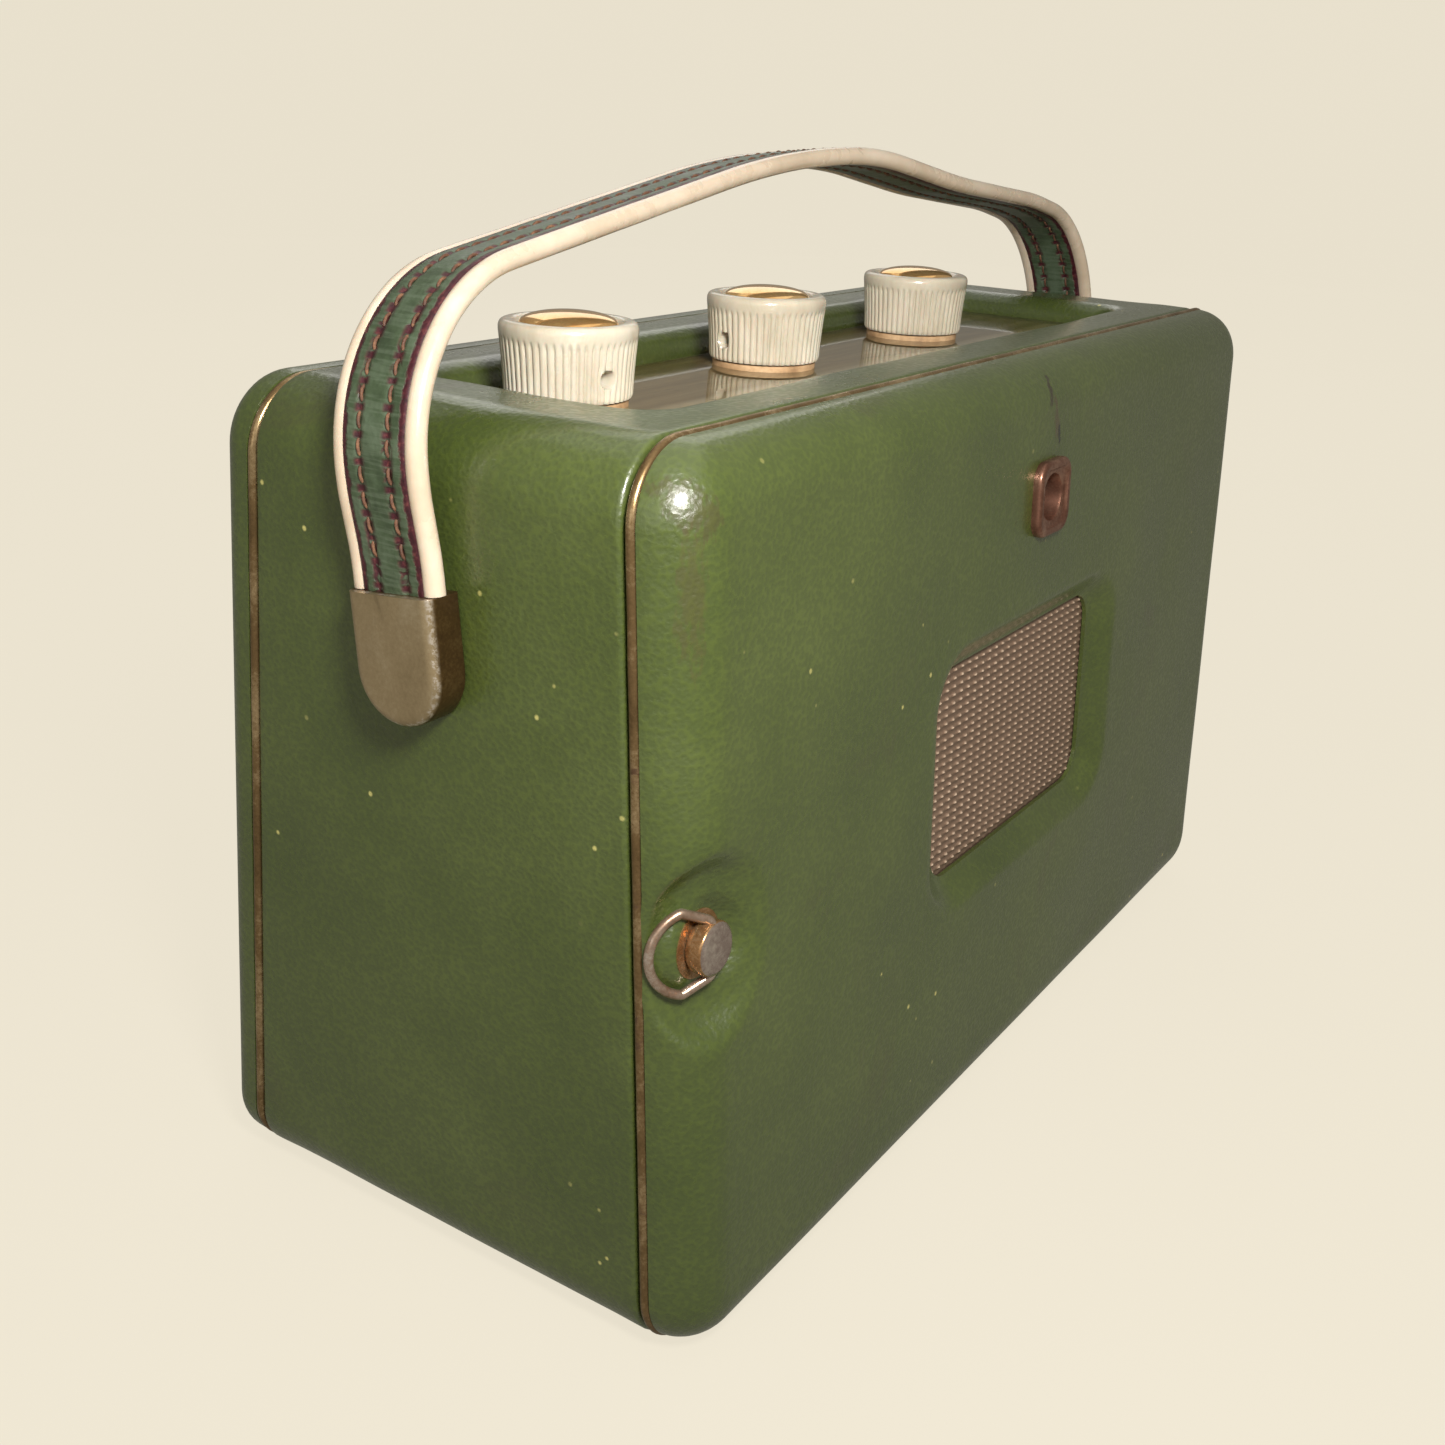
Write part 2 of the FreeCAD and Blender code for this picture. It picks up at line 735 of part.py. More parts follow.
washers = []
for knob, across in KNOBS.items():
    under = (across, "knob_y", "window_top")
    disc = cylinder(f"washer_disc_{knob}", under, "knob_foot_radius - 0.7", "knob_lift - 0.3")
    hole = cylinder(f"washer_hole_{knob}", under, SHAFT_HOLE, "knob_lift")
    washers.append(cut(f"washer_{knob}", disc, hole))
part("knob_washers", fuse("washer_set", *washers))

# --- chassis ------------------------------------------------------------------------------------------

CHASSIS_LOW = "chassis_top - chassis_thickness"


def make_chassis():
    """The metal plate under the dial, its flange for the circuit board and its tab for the aerial socket."""
    top = box("chassis_top_plate", ("-118", "-40", CHASSIS_LOW), "236", "68", "chassis_thickness")
    flange_down = box("chassis_flange", ("-106", "-20.4", "126"), "144", "1.2", f"{CHASSIS_LOW} - 126")
    tab_tall = f"{CHASSIS_LOW} - socket_up + 9"
    tab = box("chassis_socket_tab", ("-12", "-39.5", "socket_up - 9"), "24", "1.2", tab_tall)
    sheet_metal = fuse("chassis_sheet", top, flange_down, tab)
    holes = shaft_holes("chassis_hole", "chassis_top - 3", "6", "shaft_radius + 1.5")
    return cut("chassis_cut", sheet_metal, *holes)


part("chassis_plate", make_chassis())

BRACKET_END = 108.0
BRACKET_REAR = -26.0
BRACKET_DEEP = 46.0
BRACKET_FOOT = 138.0
brackets = []
for side, label in ((-1, "left"), (1, "right")):
    wall_face = side * SIDE_INNER
    flat_corner = (min(wall_face, side * BRACKET_END), BRACKET_REAR, f"{CHASSIS_LOW} - {BRACKET_THICKNESS}")
    flat = box(
        f"bracket_flat_{label}", flat_corner, SIDE_INNER - BRACKET_END, BRACKET_DEEP, BRACKET_THICKNESS
    )
    upright_corner = (min(wall_face, wall_face - side * BRACKET_THICKNESS), BRACKET_REAR, BRACKET_FOOT)
    upright = box(
        f"bracket_upright_{label}", upright_corner, BRACKET_THICKNESS, BRACKET_DEEP,
        f"{CHASSIS_LOW} - {BRACKET_FOOT}",
    )
    brackets.append(fuse(f"bracket_{label}", flat, upright))
part("chassis_brackets", cut("brackets_cut", fuse("bracket_pair", *brackets), wood_screws))

# --- circuit board and what stands on it ----------------------------------------------------------------

BOARD_REAR = -22.0
BOARD_THICKNESS = 1.6
BOARD_WIDE = 150.0
BOARD_TALL = 86.0
board = box("board_box", ("-112", BOARD_REAR, "52"), BOARD_WIDE, BOARD_THICKNESS, BOARD_TALL)
part("circuit_board", board)

cans = [
    box(f"can_{number}", (x, BOARD_REAR - 13, "96"), "10", "13", "10")
    for number, x in enumerate((-62.0, -34.0, -6.0), start=1)
]
part("if_transformer_cans", fuse("can_set", *cans))

transformers = []
for number, x in enumerate((-100.0, -74.0), start=1):
    core = box(f"core_{number}", (x, BOARD_REAR - 16, "60"), "19", "16", "16")
    winding = box(f"winding_{number}", (x + 3, BOARD_REAR - 15, "56.5"), "13", "13", "23")
    transformers.append(fuse(f"transformer_{number}", core, winding))
part("audio_transformers", fuse("transformer_set", *transformers))

# each transistor's place on the board: across and up
TRANSISTOR_PLACES = ((-84, 118), (-48, 118), (-20, 118), (8, 118), (-44, 78), (-30, 78), (-16, 64))
transistors = [
    cylinder(f"transistor_{number}", (x, BOARD_REAR, z), "2.9", "15", "-y")
    for number, (x, z) in enumerate(TRANSISTOR_PLACES, start=1)
]
part("transistors", fuse("transistor_set", *transistors))

# each capacitor's place across and up, radius and height
CAPACITOR_PLACES = (
    (4, 60, 5.0, 20),
    (22, 58, 6.5, 26),
    (22, 90, 5.0, 20),
    (-96, 98, 4.0, 16),
    (12, 92, 3.5, 14),
)
capacitors = [
    cylinder(f"capacitor_{number}", (x, BOARD_REAR - radius, z), radius, tall)
    for number, (x, z, radius, tall) in enumerate(CAPACITOR_PLACES, start=1)
]
part("electrolytic_capacitors", fuse("capacitor_set", *capacitors))

# --- controls under the chassis ---------------------------------------------------------------------------

BUSH_BORE = "shaft_radius + running_gap"
BUSH_OUTER = "shaft_radius + 1.4"


def control_body(knob, radius, depth):
    """A round control hung under the chassis, with its threaded bush through the plate."""
    across = KNOBS[knob]
    can = cylinder(f"{knob}_can", (across, "knob_y", f"{CHASSIS_LOW} - {depth}"), radius, depth)
    bush = cylinder(f"{knob}_bush", (across, "knob_y", CHASSIS_LOW), BUSH_OUTER, "chassis_thickness + 5")
    below = (across, "knob_y", f"{CHASSIS_LOW} - {depth} - 1")
    bore = cylinder(f"{knob}_bore", below, BUSH_BORE, f"{depth} + 12")
    return cut(f"{knob}_control_cut", fuse(f"{knob}_control_set", can, bush), bore)


part("volume_control", control_body("volume", "11.5", 12))
part("wave_switch", control_body("wave", "15", 13))

GANG_LOW = 125.0
GANG_X = size("tuning_x") - 16
GANG_Y = size("knob_y") - 15
GANG_WIDE = 32.0
GANG_DEEP = 34.0
GANG_SHEET = 2.0
GANG_TALL = f"{CHASSIS_LOW} - {GANG_LOW}"
PLATE_COUNT = 5
PLATE_PITCH = 4.0
PLATE_THICKNESS = 0.8
SHAFT_TOP = "window_top + knob_lift + 9"


def make_gang_frame():
    """The fixed part of the tuning capacitor: an open frame with its stator plates along one side."""
    roof_low = f"{CHASSIS_LOW} - {GANG_SHEET}"
    roof = box("gang_roof", (GANG_X, GANG_Y, roof_low), GANG_WIDE, GANG_DEEP, GANG_SHEET)
    floor = box("gang_floor", (GANG_X, GANG_Y, GANG_LOW), GANG_WIDE, GANG_DEEP, GANG_SHEET)
    back = box("gang_back", (GANG_X, GANG_Y, GANG_LOW), GANG_SHEET, GANG_DEEP, GANG_TALL)
    bush = cylinder("gang_bush", ("tuning_x", "knob_y", CHASSIS_LOW), BUSH_OUTER, "chassis_thickness + 5")
    plates = []
    for step in range(PLATE_COUNT):
        corner = (GANG_X, GANG_Y + 20.4, GANG_LOW + 5 + PLATE_PITCH * step)
        plates.append(box(f"stator_{step}", corner, "30", "13.6", PLATE_THICKNESS))
    posts = [
        box(f"stator_post_{side}", (GANG_X + 2 + 24 * side, GANG_Y + 31, GANG_LOW), "3", "3", GANG_TALL)
        for side in (0, 1)
    ]
    bore = cylinder("gang_bore", ("tuning_x", "knob_y", GANG_LOW - 1), BUSH_BORE, "60")
    return cut("gang_cut", fuse("gang_fuse", roof, floor, back, bush, *plates, *posts), bore)


part("tuning_capacitor_frame", make_gang_frame())


def make_rotor():
    """The tuning shaft with its half-round rotor plates, which start clear of the stator."""
    shaft_foot = ("tuning_x", "knob_y", GANG_LOW)
    shaft = cylinder("tuning_shaft", shaft_foot, "shaft_radius", f"{SHAFT_TOP} - {GANG_LOW}")
    plates = []
    for step in range(PLATE_COUNT):
        low = GANG_LOW + 7 + PLATE_PITCH * step
        disc = cylinder(f"rotor_disc_{step}", ("tuning_x", "knob_y", low), "12.5", PLATE_THICKNESS)
        half = box(f"rotor_half_{step}", ("tuning_x - 14", "knob_y", low - 1), "28", "14", "2.8")
        plates.append(cut(f"rotor_plate_{step}", disc, half))
    return fuse("rotor_fuse", shaft, *plates)


part("tuning_rotor", make_rotor())
for knob, depth in (("volume", 10), ("wave", 11)):
    shaft_low = f"{CHASSIS_LOW} - {depth}"
    shaft_tall = f"{SHAFT_TOP} - ({shaft_low})"
    rod = cylinder(f"{knob}_shaft_rod", (KNOBS[knob], "knob_y", shaft_low), "shaft_radius", shaft_tall)
    part(f"{knob}_shaft", rod)

# --- knobs ----------------------------------------------------------------------------------------------

# the bearing of each knob's grub screw as the knobs stand at rest, in degrees from +X
GRUB_TURN = {"volume": -105.0, "tuning": 165.0, "wave": 0.0}
GRUB_RISE = 4.6


def make_knob(knob, across):
    """A fluted knob: tapered skirt, smooth rounded rim, a dish for its dome, a bore for the shaft."""
    name = f"{knob}_knob"
    body = turned(f"{name}_body", [
        ("shaft_radius", "0"),
        ("knob_foot_radius - 0.6", "0"),
        ("knob_foot_radius", "0.8"),
        ("knob_rim_radius", "knob_tall - 2.6"),
        ("knob_rim_radius - 0.5", "knob_tall - 0.9"),
        ("knob_rim_radius - 1.8", "knob_tall"),
        ("dome_radius + 1.2", "knob_tall"),
        ("dome_radius + 0.1", "knob_tall - 1.6"),
        ("dome_radius + 0.1", "knob_tall - 2.4"),
        ("0.001", "knob_tall - 2.4"),
        ("0.001", "9"),
        ("shaft_radius", "9"),
    ])
    flare = size("knob_rim_radius") - size("knob_foot_radius")
    lean = math.degrees(math.atan2(flare, size("knob_tall") - 3.4))
    flute = doc.addObject("Part::Box", f"{name}_flute")
    bind(flute, Length="4 * flute_depth", Width="flute_width", Height="knob_tall - 2")
    spot(flute, ("knob_foot_radius - flute_depth", "-flute_width / 2", "-1"), Rotation(Y_AXIS, lean))
    flutes = []
    # the first and the last are left out, because they would meet the grub screw's hole
    for step in range(1, int(size("flute_count")) - 1):
        turn = doc.addObject("Part::Compound", f"{name}_flute_{step}")
        turn.Links = [flute]
        turn.Placement = Placement(Vector(), Rotation(Z_AXIS, 360 * (step + 0.5) / size("flute_count")))
        flutes.append(turn)
    grub_hole = cylinder(f"{name}_grub_hole", ("shaft_radius - 0.5", "0", GRUB_RISE), "1.5", "12", "+x")
    place = Placement(
        Vector(size(across), size("knob_y"), size("window_top") + size("knob_lift")),
        Rotation(Z_AXIS, GRUB_TURN[knob]),
    )
    part(name, cut(f"{name}_cut", body, grub_hole, *flutes), place)
    dome = turned(f"{name}_dome_body", [
        ("0.001", "knob_tall - 2.4"),
        ("dome_radius", "knob_tall - 2.4"),
        ("dome_radius", "knob_tall - 1.5"),
        ("dome_radius * 0.87", "knob_tall - 0.5"),
        ("dome_radius * 0.62", "knob_tall + 0.7"),
        ("dome_radius * 0.32", "knob_tall + 1.4"),
        ("0.001", "knob_tall + 1.6"),
    ])
    part(f"{name}_dome", dome, place)
    grub = cylinder(f"{name}_grub", ("shaft_radius", "0", GRUB_RISE), "1.5", "5.5", "+x")
    part(f"{name}_grub_screw", grub, place)


for knob, across in KNOBS.items():
    make_knob(knob, across)

# --- aerial, socket and battery ---------------------------------------------------------------------------

ROD_END = ("-rod_length / 2", "rod_y", "rod_up")
part("ferrite_rod", cylinder("rod", ROD_END, "rod_radius", "rod_length", "+x"))
coils = []
for label, start, length in (("long", -72.0, 30.0), ("medium", 34.0, 24.0)):
    winding = cylinder(f"coil_{label}", (start, "rod_y", "rod_up"), "rod_radius + 1.6", length, "+x")
    core = cylinder(f"coil_core_{label}", (start - 1, "rod_y", "rod_up"), "rod_radius", length + 2, "+x")
    coils.append(cut(f"coil_ring_{label}", winding, core))
part("aerial_coils", fuse("coil_set", *coils))
clips = [
    box(f"clip_{label}", (x, "rod_y - 7", "rod_up - 7"), "7", "14", f"{CHASSIS_LOW} - rod_up + 7")
    for label, x in (("left", -92.0), ("right", 85.0))
]
rod_hole = cylinder("rod_hole", ROD_END, "rod_radius", "rod_length", "+x")
part("aerial_rod_holders", cut("holder_cut", fuse("holder_set", *clips), rod_hole))

SOCKET_FACE = -52.0
socket_outer = cylinder("socket_outer", ("0", SOCKET_FACE, "socket_up"), "6.2", "12.5", "+y")
socket_bore = cylinder("socket_inner", ("0", SOCKET_FACE - 1, "socket_up"), "socket_bore", "12", "+y")
part("aerial_socket", cut("socket_cut", socket_outer, socket_bore))

TERMINAL_SHIFTS = (("plus", 17.5), ("minus", -17.5))
TERMINAL_TALL = 3.4
TRAY_ROOM = 0.4
CELL_LOW = "wall + tray_wall"
cell = box(
    "battery_case", ("battery_x - battery_width / 2", "battery_y - battery_depth / 2", CELL_LOW),
    "battery_width", "battery_depth", f"battery_tall - {TERMINAL_TALL}",
)
terminals = []
connectors = []
for label, shift in TERMINAL_SHIFTS:
    middle = f"battery_x + {shift}"
    stud_foot = (middle, "battery_y", f"{CELL_LOW} + battery_tall - {TERMINAL_TALL}")
    terminals.append(cylinder(f"terminal_{label}", stud_foot, "4.0", TERMINAL_TALL))
    cap_foot = (middle, "battery_y", f"{CELL_LOW} + battery_tall")
    connectors.append(cylinder(f"connector_{label}", cap_foot, "6.5", "3.0"))
part("battery", fuse("battery_fuse", cell, *terminals))
part("battery_connectors", fuse("connector_set", *connectors))


def tray_block(name, room, low, tall):
    """A block round the battery, larger than it by a room on each side."""
    corner = (f"battery_x - battery_width / 2 - ({room})", f"battery_y - battery_depth / 2 - ({room})", low)
    return box(name, corner, f"battery_width + 2 * ({room})", f"battery_depth + 2 * ({room})", tall)


tray_outer = tray_block("tray_outer", f"tray_wall + {TRAY_ROOM}", "wall", "22")
tray_inner = tray_block("tray_inner", f"{TRAY_ROOM}", CELL_LOW, "30")
part("battery_tray", cut("tray_cut", tray_outer, tray_inner))

# --- rear door (in the rear frame, -Y outwards) -------------------------------------------------------------

DOOR_OUTER = "-door_thickness"
SKIN_FACE = "door_skin - door_thickness"
BEZEL_UP = "socket_up - 0.4"
BEZEL_PROUD = 2.3


def make_door_blank():
    body = panel(
        "door_body", f"-{HALF}", HALF, "door_lift", "case_height", "corner_radius", "door_gap",
        "door_thickness - door_gap",
    )
    slab = body.Tip
    outer = edges_where(slab, lambda edge: lies_at(edge, Y_AXIS, -size("door_thickness")))
    round_edges(body, "door_outer_edges", slab, outer, "door_rounding")
    return body


def vent_flare_tool():
    """The dished mouth of the vent: a tapered cut from the outer face down to the mesh opening."""
    wide = size("vent_width") / 2 + size("vent_flare")
    tall = size("vent_tall") / 2 + size("vent_flare") * 0.75
    narrow = size("vent_width") / 2
    low = size("vent_tall") / 2
    start = -size("door_thickness")
    depth = size("door_skin")

    def outline(half_width, half_height, radius, y):
        flat = Part.makeBox(2 * half_width, 1, 2 * half_height, Vector(-half_width, y, -half_height))
        upright = [edge for edge in flat.Edges if runs_along(edge, Y_AXIS)]
        rounded = flat.makeFillet(radius, upright)
        face = next(face for face in rounded.Faces if abs(face.BoundBox.YMax - y) < 1e-6)
        return face.OuterWire

    shape = Part.makeLoft([
        outline(wide, tall, size("vent_corner") + 5, start - 0.01),
        outline(narrow, low, size("vent_corner"), start + depth - 1.2),
        outline(narrow, low, size("vent_corner"), start + depth + 4),
    ], True, True)
    tool = doc.addObject("Part::Feature", "vent_flare_tool")
    tool.Shape = shape
    tool.Placement = Placement(Vector(0, 0, size("vent_centre")), Rotation())
    return tool


def catch_scoop():
    """The tilted dish round the catch, open towards the door's left edge."""
    scoop = doc.addObject("Part::Cone", "catch_scoop")
    bind(scoop, Radius1="14", Radius2="20", Height="14")
    floor = -size("door_thickness") + size("catch_depth")
    tilt = Rotation(Z_AXIS, -size("catch_tilt")) * TURN["-y"]
    scoop.Placement = Placement(Vector(size("catch_x"), floor, size("catch_up")), tilt)
    return scoop


def make_door_limit():
    """A plain copy of the door's outline, which trims the rails glued inside it."""
    return panel(
        "door_limit", f"0.5 - {HALF}", f"{HALF} - 0.5", "door_lift + 0.5", "case_height - 0.5",
        "corner_radius", "door_gap", "door_thickness - door_gap - 4",
    )


def make_door():
    """The hollow door with its catch block and hinge rail, cut for the vent, catch, socket and hinges."""
    inner_tall = "case_height - door_lift - 2 * door_rim"
    rail_depth = "door_thickness - door_gap - 1"
    cavity = box(
        "door_cavity", (f"door_rim - {HALF}", SKIN_FACE, "door_lift + door_rim"),
        "case_width - 2 * door_rim", "door_thickness - door_skin + 1", inner_tall,
    )
    hollow = cut("door_hollow", make_door_blank(), cavity)
    block_corner = (f"door_rim - {HALF} - 1", "1 - door_thickness", "catch_up - 22")
    block = box("catch_block", block_corner, "31", rail_depth, "44")
    rail_corner = (f"{HALF} - door_rim - 8", "1 - door_thickness", "door_lift + door_rim - 1")
    hinge_rail = box("hinge_rail", rail_corner, "9", rail_depth, f"{inner_tall} + 2")
    rails = doc.addObject("Part::Common", "door_rails")
    rails.Base = fuse("door_rail_pair", block, hinge_rail)
    rails.Tool = make_door_limit()
    solid = fuse("door_solid", hollow, rails)
    bush_hole = cylinder("catch_hole", ("catch_x", "1", "catch_up"), "3.6", "20", "-y")
    socket_hole = cylinder("socket_hole", ("0", "1", BEZEL_UP), "6.0", "20", "-y")
    notches = hinge_notches("door_notch", "-door_gap - leaf_thickness", "leaf_thickness + door_gap")
    rebate = seam_ring("door_rebate_body", "door_gap", "door_lift", "case_height", "2")
    seat = cylinder("bush_seat", ("catch_x", f"{DOOR_OUTER} + catch_depth + 0.5", "catch_up"), "7", "6", "-y")
    return cut(
        "door_cut", solid, vent_flare_tool(), catch_scoop(), bush_hole, seat, socket_hole, *notches, rebate,
        leaf_screws_door,
    )


part("door_panel", make_door(), REAR)


def bead_with_gaps():
    """The door's bead, cut away where the hinge barrels lie."""
    bead = make_bead("door_bead_body", "door_gap", "door_lift", "case_height")
    return cut("door_bead_cut", bead, *hinge_notches("bead_notch", "-4", "4"))


part("door_bead", bead_with_gaps(), REAR)



def round_vent(lap):
    """The vent's opening widened by a lap: its left, right, low and high formulas."""
    across = f"vent_width / 2 + {lap}"
    rise = f"vent_tall / 2 + {lap}"
    return f"-({across})", across, f"vent_centre - ({rise})", f"vent_centre + {rise}"


MESH_BACK = "door_thickness - door_skin - mesh_thickness"
mesh_body = panel("mesh_body", *round_vent("mesh_lap"), "vent_corner", MESH_BACK, "mesh_thickness")
part("vent_mesh", mesh_body, REAR)
frame_opening = (*round_vent("0"), "vent_corner - 1")
frame_body = panel(
    "mesh_frame_body", *round_vent("mesh_lap + 1"), "vent_corner", f"{MESH_BACK} - 1.5", "1.5", frame_opening
)
part("vent_mesh_frame", frame_body, REAR)

bezel_plate = panel(
    "socket_bezel_body", "-8.5", "8.5", f"{BEZEL_UP} - 8.5", f"{BEZEL_UP} + 8.5", "4.2", "door_thickness",
    f"{BEZEL_PROUD}",
)
bezel_slab = bezel_plate.Tip
bezel_face = -size("door_thickness") - BEZEL_PROUD
bezel_edges = edges_where(bezel_slab, lambda edge: lies_at(edge, Y_AXIS, bezel_face))
round_edges(bezel_plate, "socket_bezel_edges", bezel_slab, bezel_edges, "1.2")
bezel_tube = cylinder("bezel_tube", ("0", DOOR_OUTER, BEZEL_UP), "6.0", "door_skin", "+y")
bezel_hole = cylinder("bezel_hole", ("0", "1", BEZEL_UP), "5.2", "30", "-y")
part("socket_bezel", cut("bezel_cut", fuse("bezel_joined", bezel_plate, bezel_tube), bezel_hole), REAR)

# --- hinges -----------------------------------------------------------------------------------------------


def hinge_leaf(name, first, knuckles, bore, screws):
    """Both hinges' leaves on one side of the seam: a plate each, and its share of the barrel.

    The pins are fast in the case leaves and run free in the door leaves, which bore sets.
    """
    pieces = []
    bores = []
    for number, middle in enumerate(HINGE_UPS, start=1):
        low = f"{middle} - hinge_length / 2"
        plate_corner = ("hinge_x - leaf_width", first, low)
        plate = box(f"{name}_plate_{number}", plate_corner, "leaf_width", "leaf_thickness", "hinge_length")
        below = ("hinge_x", "0", f"{low} - 1")
        clear = cylinder(f"{name}_clear_{number}", below, "hinge_barrel + 0.12", "hinge_length + 2")
        rolls = []
        for order, (start, length) in enumerate(knuckles):
            end = f"{name}_{number}_{order}"
            roll = cylinder(f"roll_{end}", ("hinge_x", "0", f"{low} + {start}"), "hinge_barrel", length)
            tie_corner = ("hinge_x - hinge_barrel - 0.6", first, f"{low} + {start}")
            tie = box(f"tie_{end}", tie_corner, "hinge_barrel + 0.6", "leaf_thickness", length)
            rolls += [roll, tie]
        pieces.append(fuse(f"{name}_{number}", cut(f"{name}_trim_{number}", plate, clear), *rolls))
        bores.append(cylinder(f"{name}_bore_{number}", below, bore, "hinge_length + 2"))
    return cut(f"{name}_cut", fuse(f"{name}_pair", *pieces), *bores, screws)


# each leaf's knuckles: where they start along the barrel, and their length
CASE_KNUCKLES = ((0, 9.9), (20.1, 9.9))
DOOR_KNUCKLES = ((10.1, 9.8),)
case_screws_here = placed_screws("case_leaf_tool", seen_from(REAR, case_leaf_screw_places), *CASE_LEAF_SCREW)
case_leaves = hinge_leaf("case_leaf", "0", CASE_KNUCKLES, "hinge_pin", case_screws_here)
part("hinge_case_leaves", case_leaves, REAR)
door_leaves = hinge_leaf(
    "door_leaf", "-door_gap - leaf_thickness", DOOR_KNUCKLES, "hinge_pin + running_gap", leaf_screws_door
)
part("hinge_door_leaves", door_leaves, REAR)
part("hinge_door_screws", leaf_screws_door, REAR)
pins = [
    cylinder(f"pin_{number}", ("hinge_x", "0", f"{middle} - hinge_length / 2"), "hinge_pin", "hinge_length")
    for number, middle in enumerate(HINGE_UPS, start=1)
]
part("hinge_pins", fuse("pin_set", *pins), REAR)

# --- catch --------------------------------------------------------------------------------------------------

SEAT = "catch_depth - door_thickness"
SHANK = 2.0
BULB = 2.4
BULB_DEPTH = "4.0"
flange_disc = cylinder("bush_flange", ("catch_x", f"{SEAT} + 0.5", "catch_up"), "6.4", "0.5", "-y")
tube_start = ("catch_x", "-door_gap - 0.2", "catch_up")
bush_tube = cylinder("bush_tube", tube_start, "3.6", f"-({SEAT}) - door_gap - 0.7", "-y")
bush_bore = cylinder("bush_bore", ("catch_x", "1", "catch_up"), f"{SHANK} + running_gap", "20", "-y")
part("catch_bush", cut("bush_cut", fuse("bush_fuse", flange_disc, bush_tube), bush_bore), REAR)

head = cylinder("stud_head", ("catch_x", f"{SEAT} - 0.1", "catch_up"), "stud_radius", "stud_tall", "-y")
shank_tall = f"{BULB_DEPTH} - ({SEAT}) + 1"
shank = cylinder("stud_shank", ("catch_x", BULB_DEPTH, "catch_up"), SHANK, shank_tall, "-y")
bulb = doc.addObject("Part::Sphere", "stud_bulb")
bind(bulb, Radius=str(BULB))
spot(bulb, ("catch_x", BULB_DEPTH, "catch_up"))
RING_DEPTH = "ring_inset - door_thickness + catch_depth - stud_tall"
cross_hole = cylinder("stud_cross_hole", ("catch_x", RING_DEPTH, "catch_up - 7"), "ring_wire + 0.06", "14")
part("catch_stud", cut("stud_cut", fuse("stud_fuse", head, shank, bulb), cross_hole), REAR)

keeper_plate = box("clip_plate", (f"3 - {HALF}", "0", "catch_up - 18"), "16", "1.2", "36")
flanges = [
    box(f"clip_flange_{label}", (f"-{SIDE_INNER}", "0", f"catch_up + {shift} - 3"), "1.2", "14", "6")
    for label, shift in zip(("low", "high"), KEEPER_FLANGE_UPS)
]
jaws = [
    box(f"clip_jaw_{label}", ("catch_x - 2.8", "0.6", f"catch_up + {shift}"), "5.6", "6.4", "0.6")
    for label, shift in (("low", -BULB - 0.9), ("high", BULB + 0.3))
]
mouth = cylinder("clip_mouth", ("catch_x", "3", "catch_up"), f"{BULB} + 0.2", "6", "-y")
clip_screws = placed_screws("clip_tool", seen_from(REAR, keeper_screw_places), *WOOD_SCREW)
clip_body = fuse("clip_fuse", keeper_plate, *flanges, *jaws)
part("catch_clip", cut("clip_cut", clip_body, mouth, clip_screws), REAR)


def make_ring():
    """A D-shaped wire ring: a straight leg through the stud, two short arms and a half-round bow."""
    straight = cylinder("ring_leg", ("0", "0", "-ring_half"), "ring_wire", "2 * ring_half")
    pieces = [straight]
    arm = "ring_reach - ring_half"
    for label, level in (("low", "-ring_half"), ("high", "ring_half")):
        pieces.append(cylinder(f"ring_arm_{label}", (f"-({arm})", "0", level), "ring_wire", arm, "+x"))
        ball = doc.addObject("Part::Sphere", f"ring_corner_{label}")
        bind(ball, Radius="ring_wire")
        spot(ball, ("0", "0", level))
        pieces.append(ball)
    bow = doc.addObject("Part::Torus", "ring_bow")
    bind(bow, Radius1="ring_half", Radius2="ring_wire")
    bow.Angle3 = 180
    bow.Placement = Placement(Vector(), Rotation(Z_AXIS, -X_AXIS, -Y_AXIS, "XYZ"))
    spot(bow, (f"-({arm})", "0", "0"))
    pieces.append(bow)
    return fuse("ring_fuse", *pieces)


part("catch_ring", make_ring(), CATCH_RING)

# --- handle (in the handle frame: pivots at the origin's height, strap rising along +Z) ---------------

CAP_FACE = f"{HALF} + cap_gap"
SIDES = ((-1, "left"), (1, "right"))


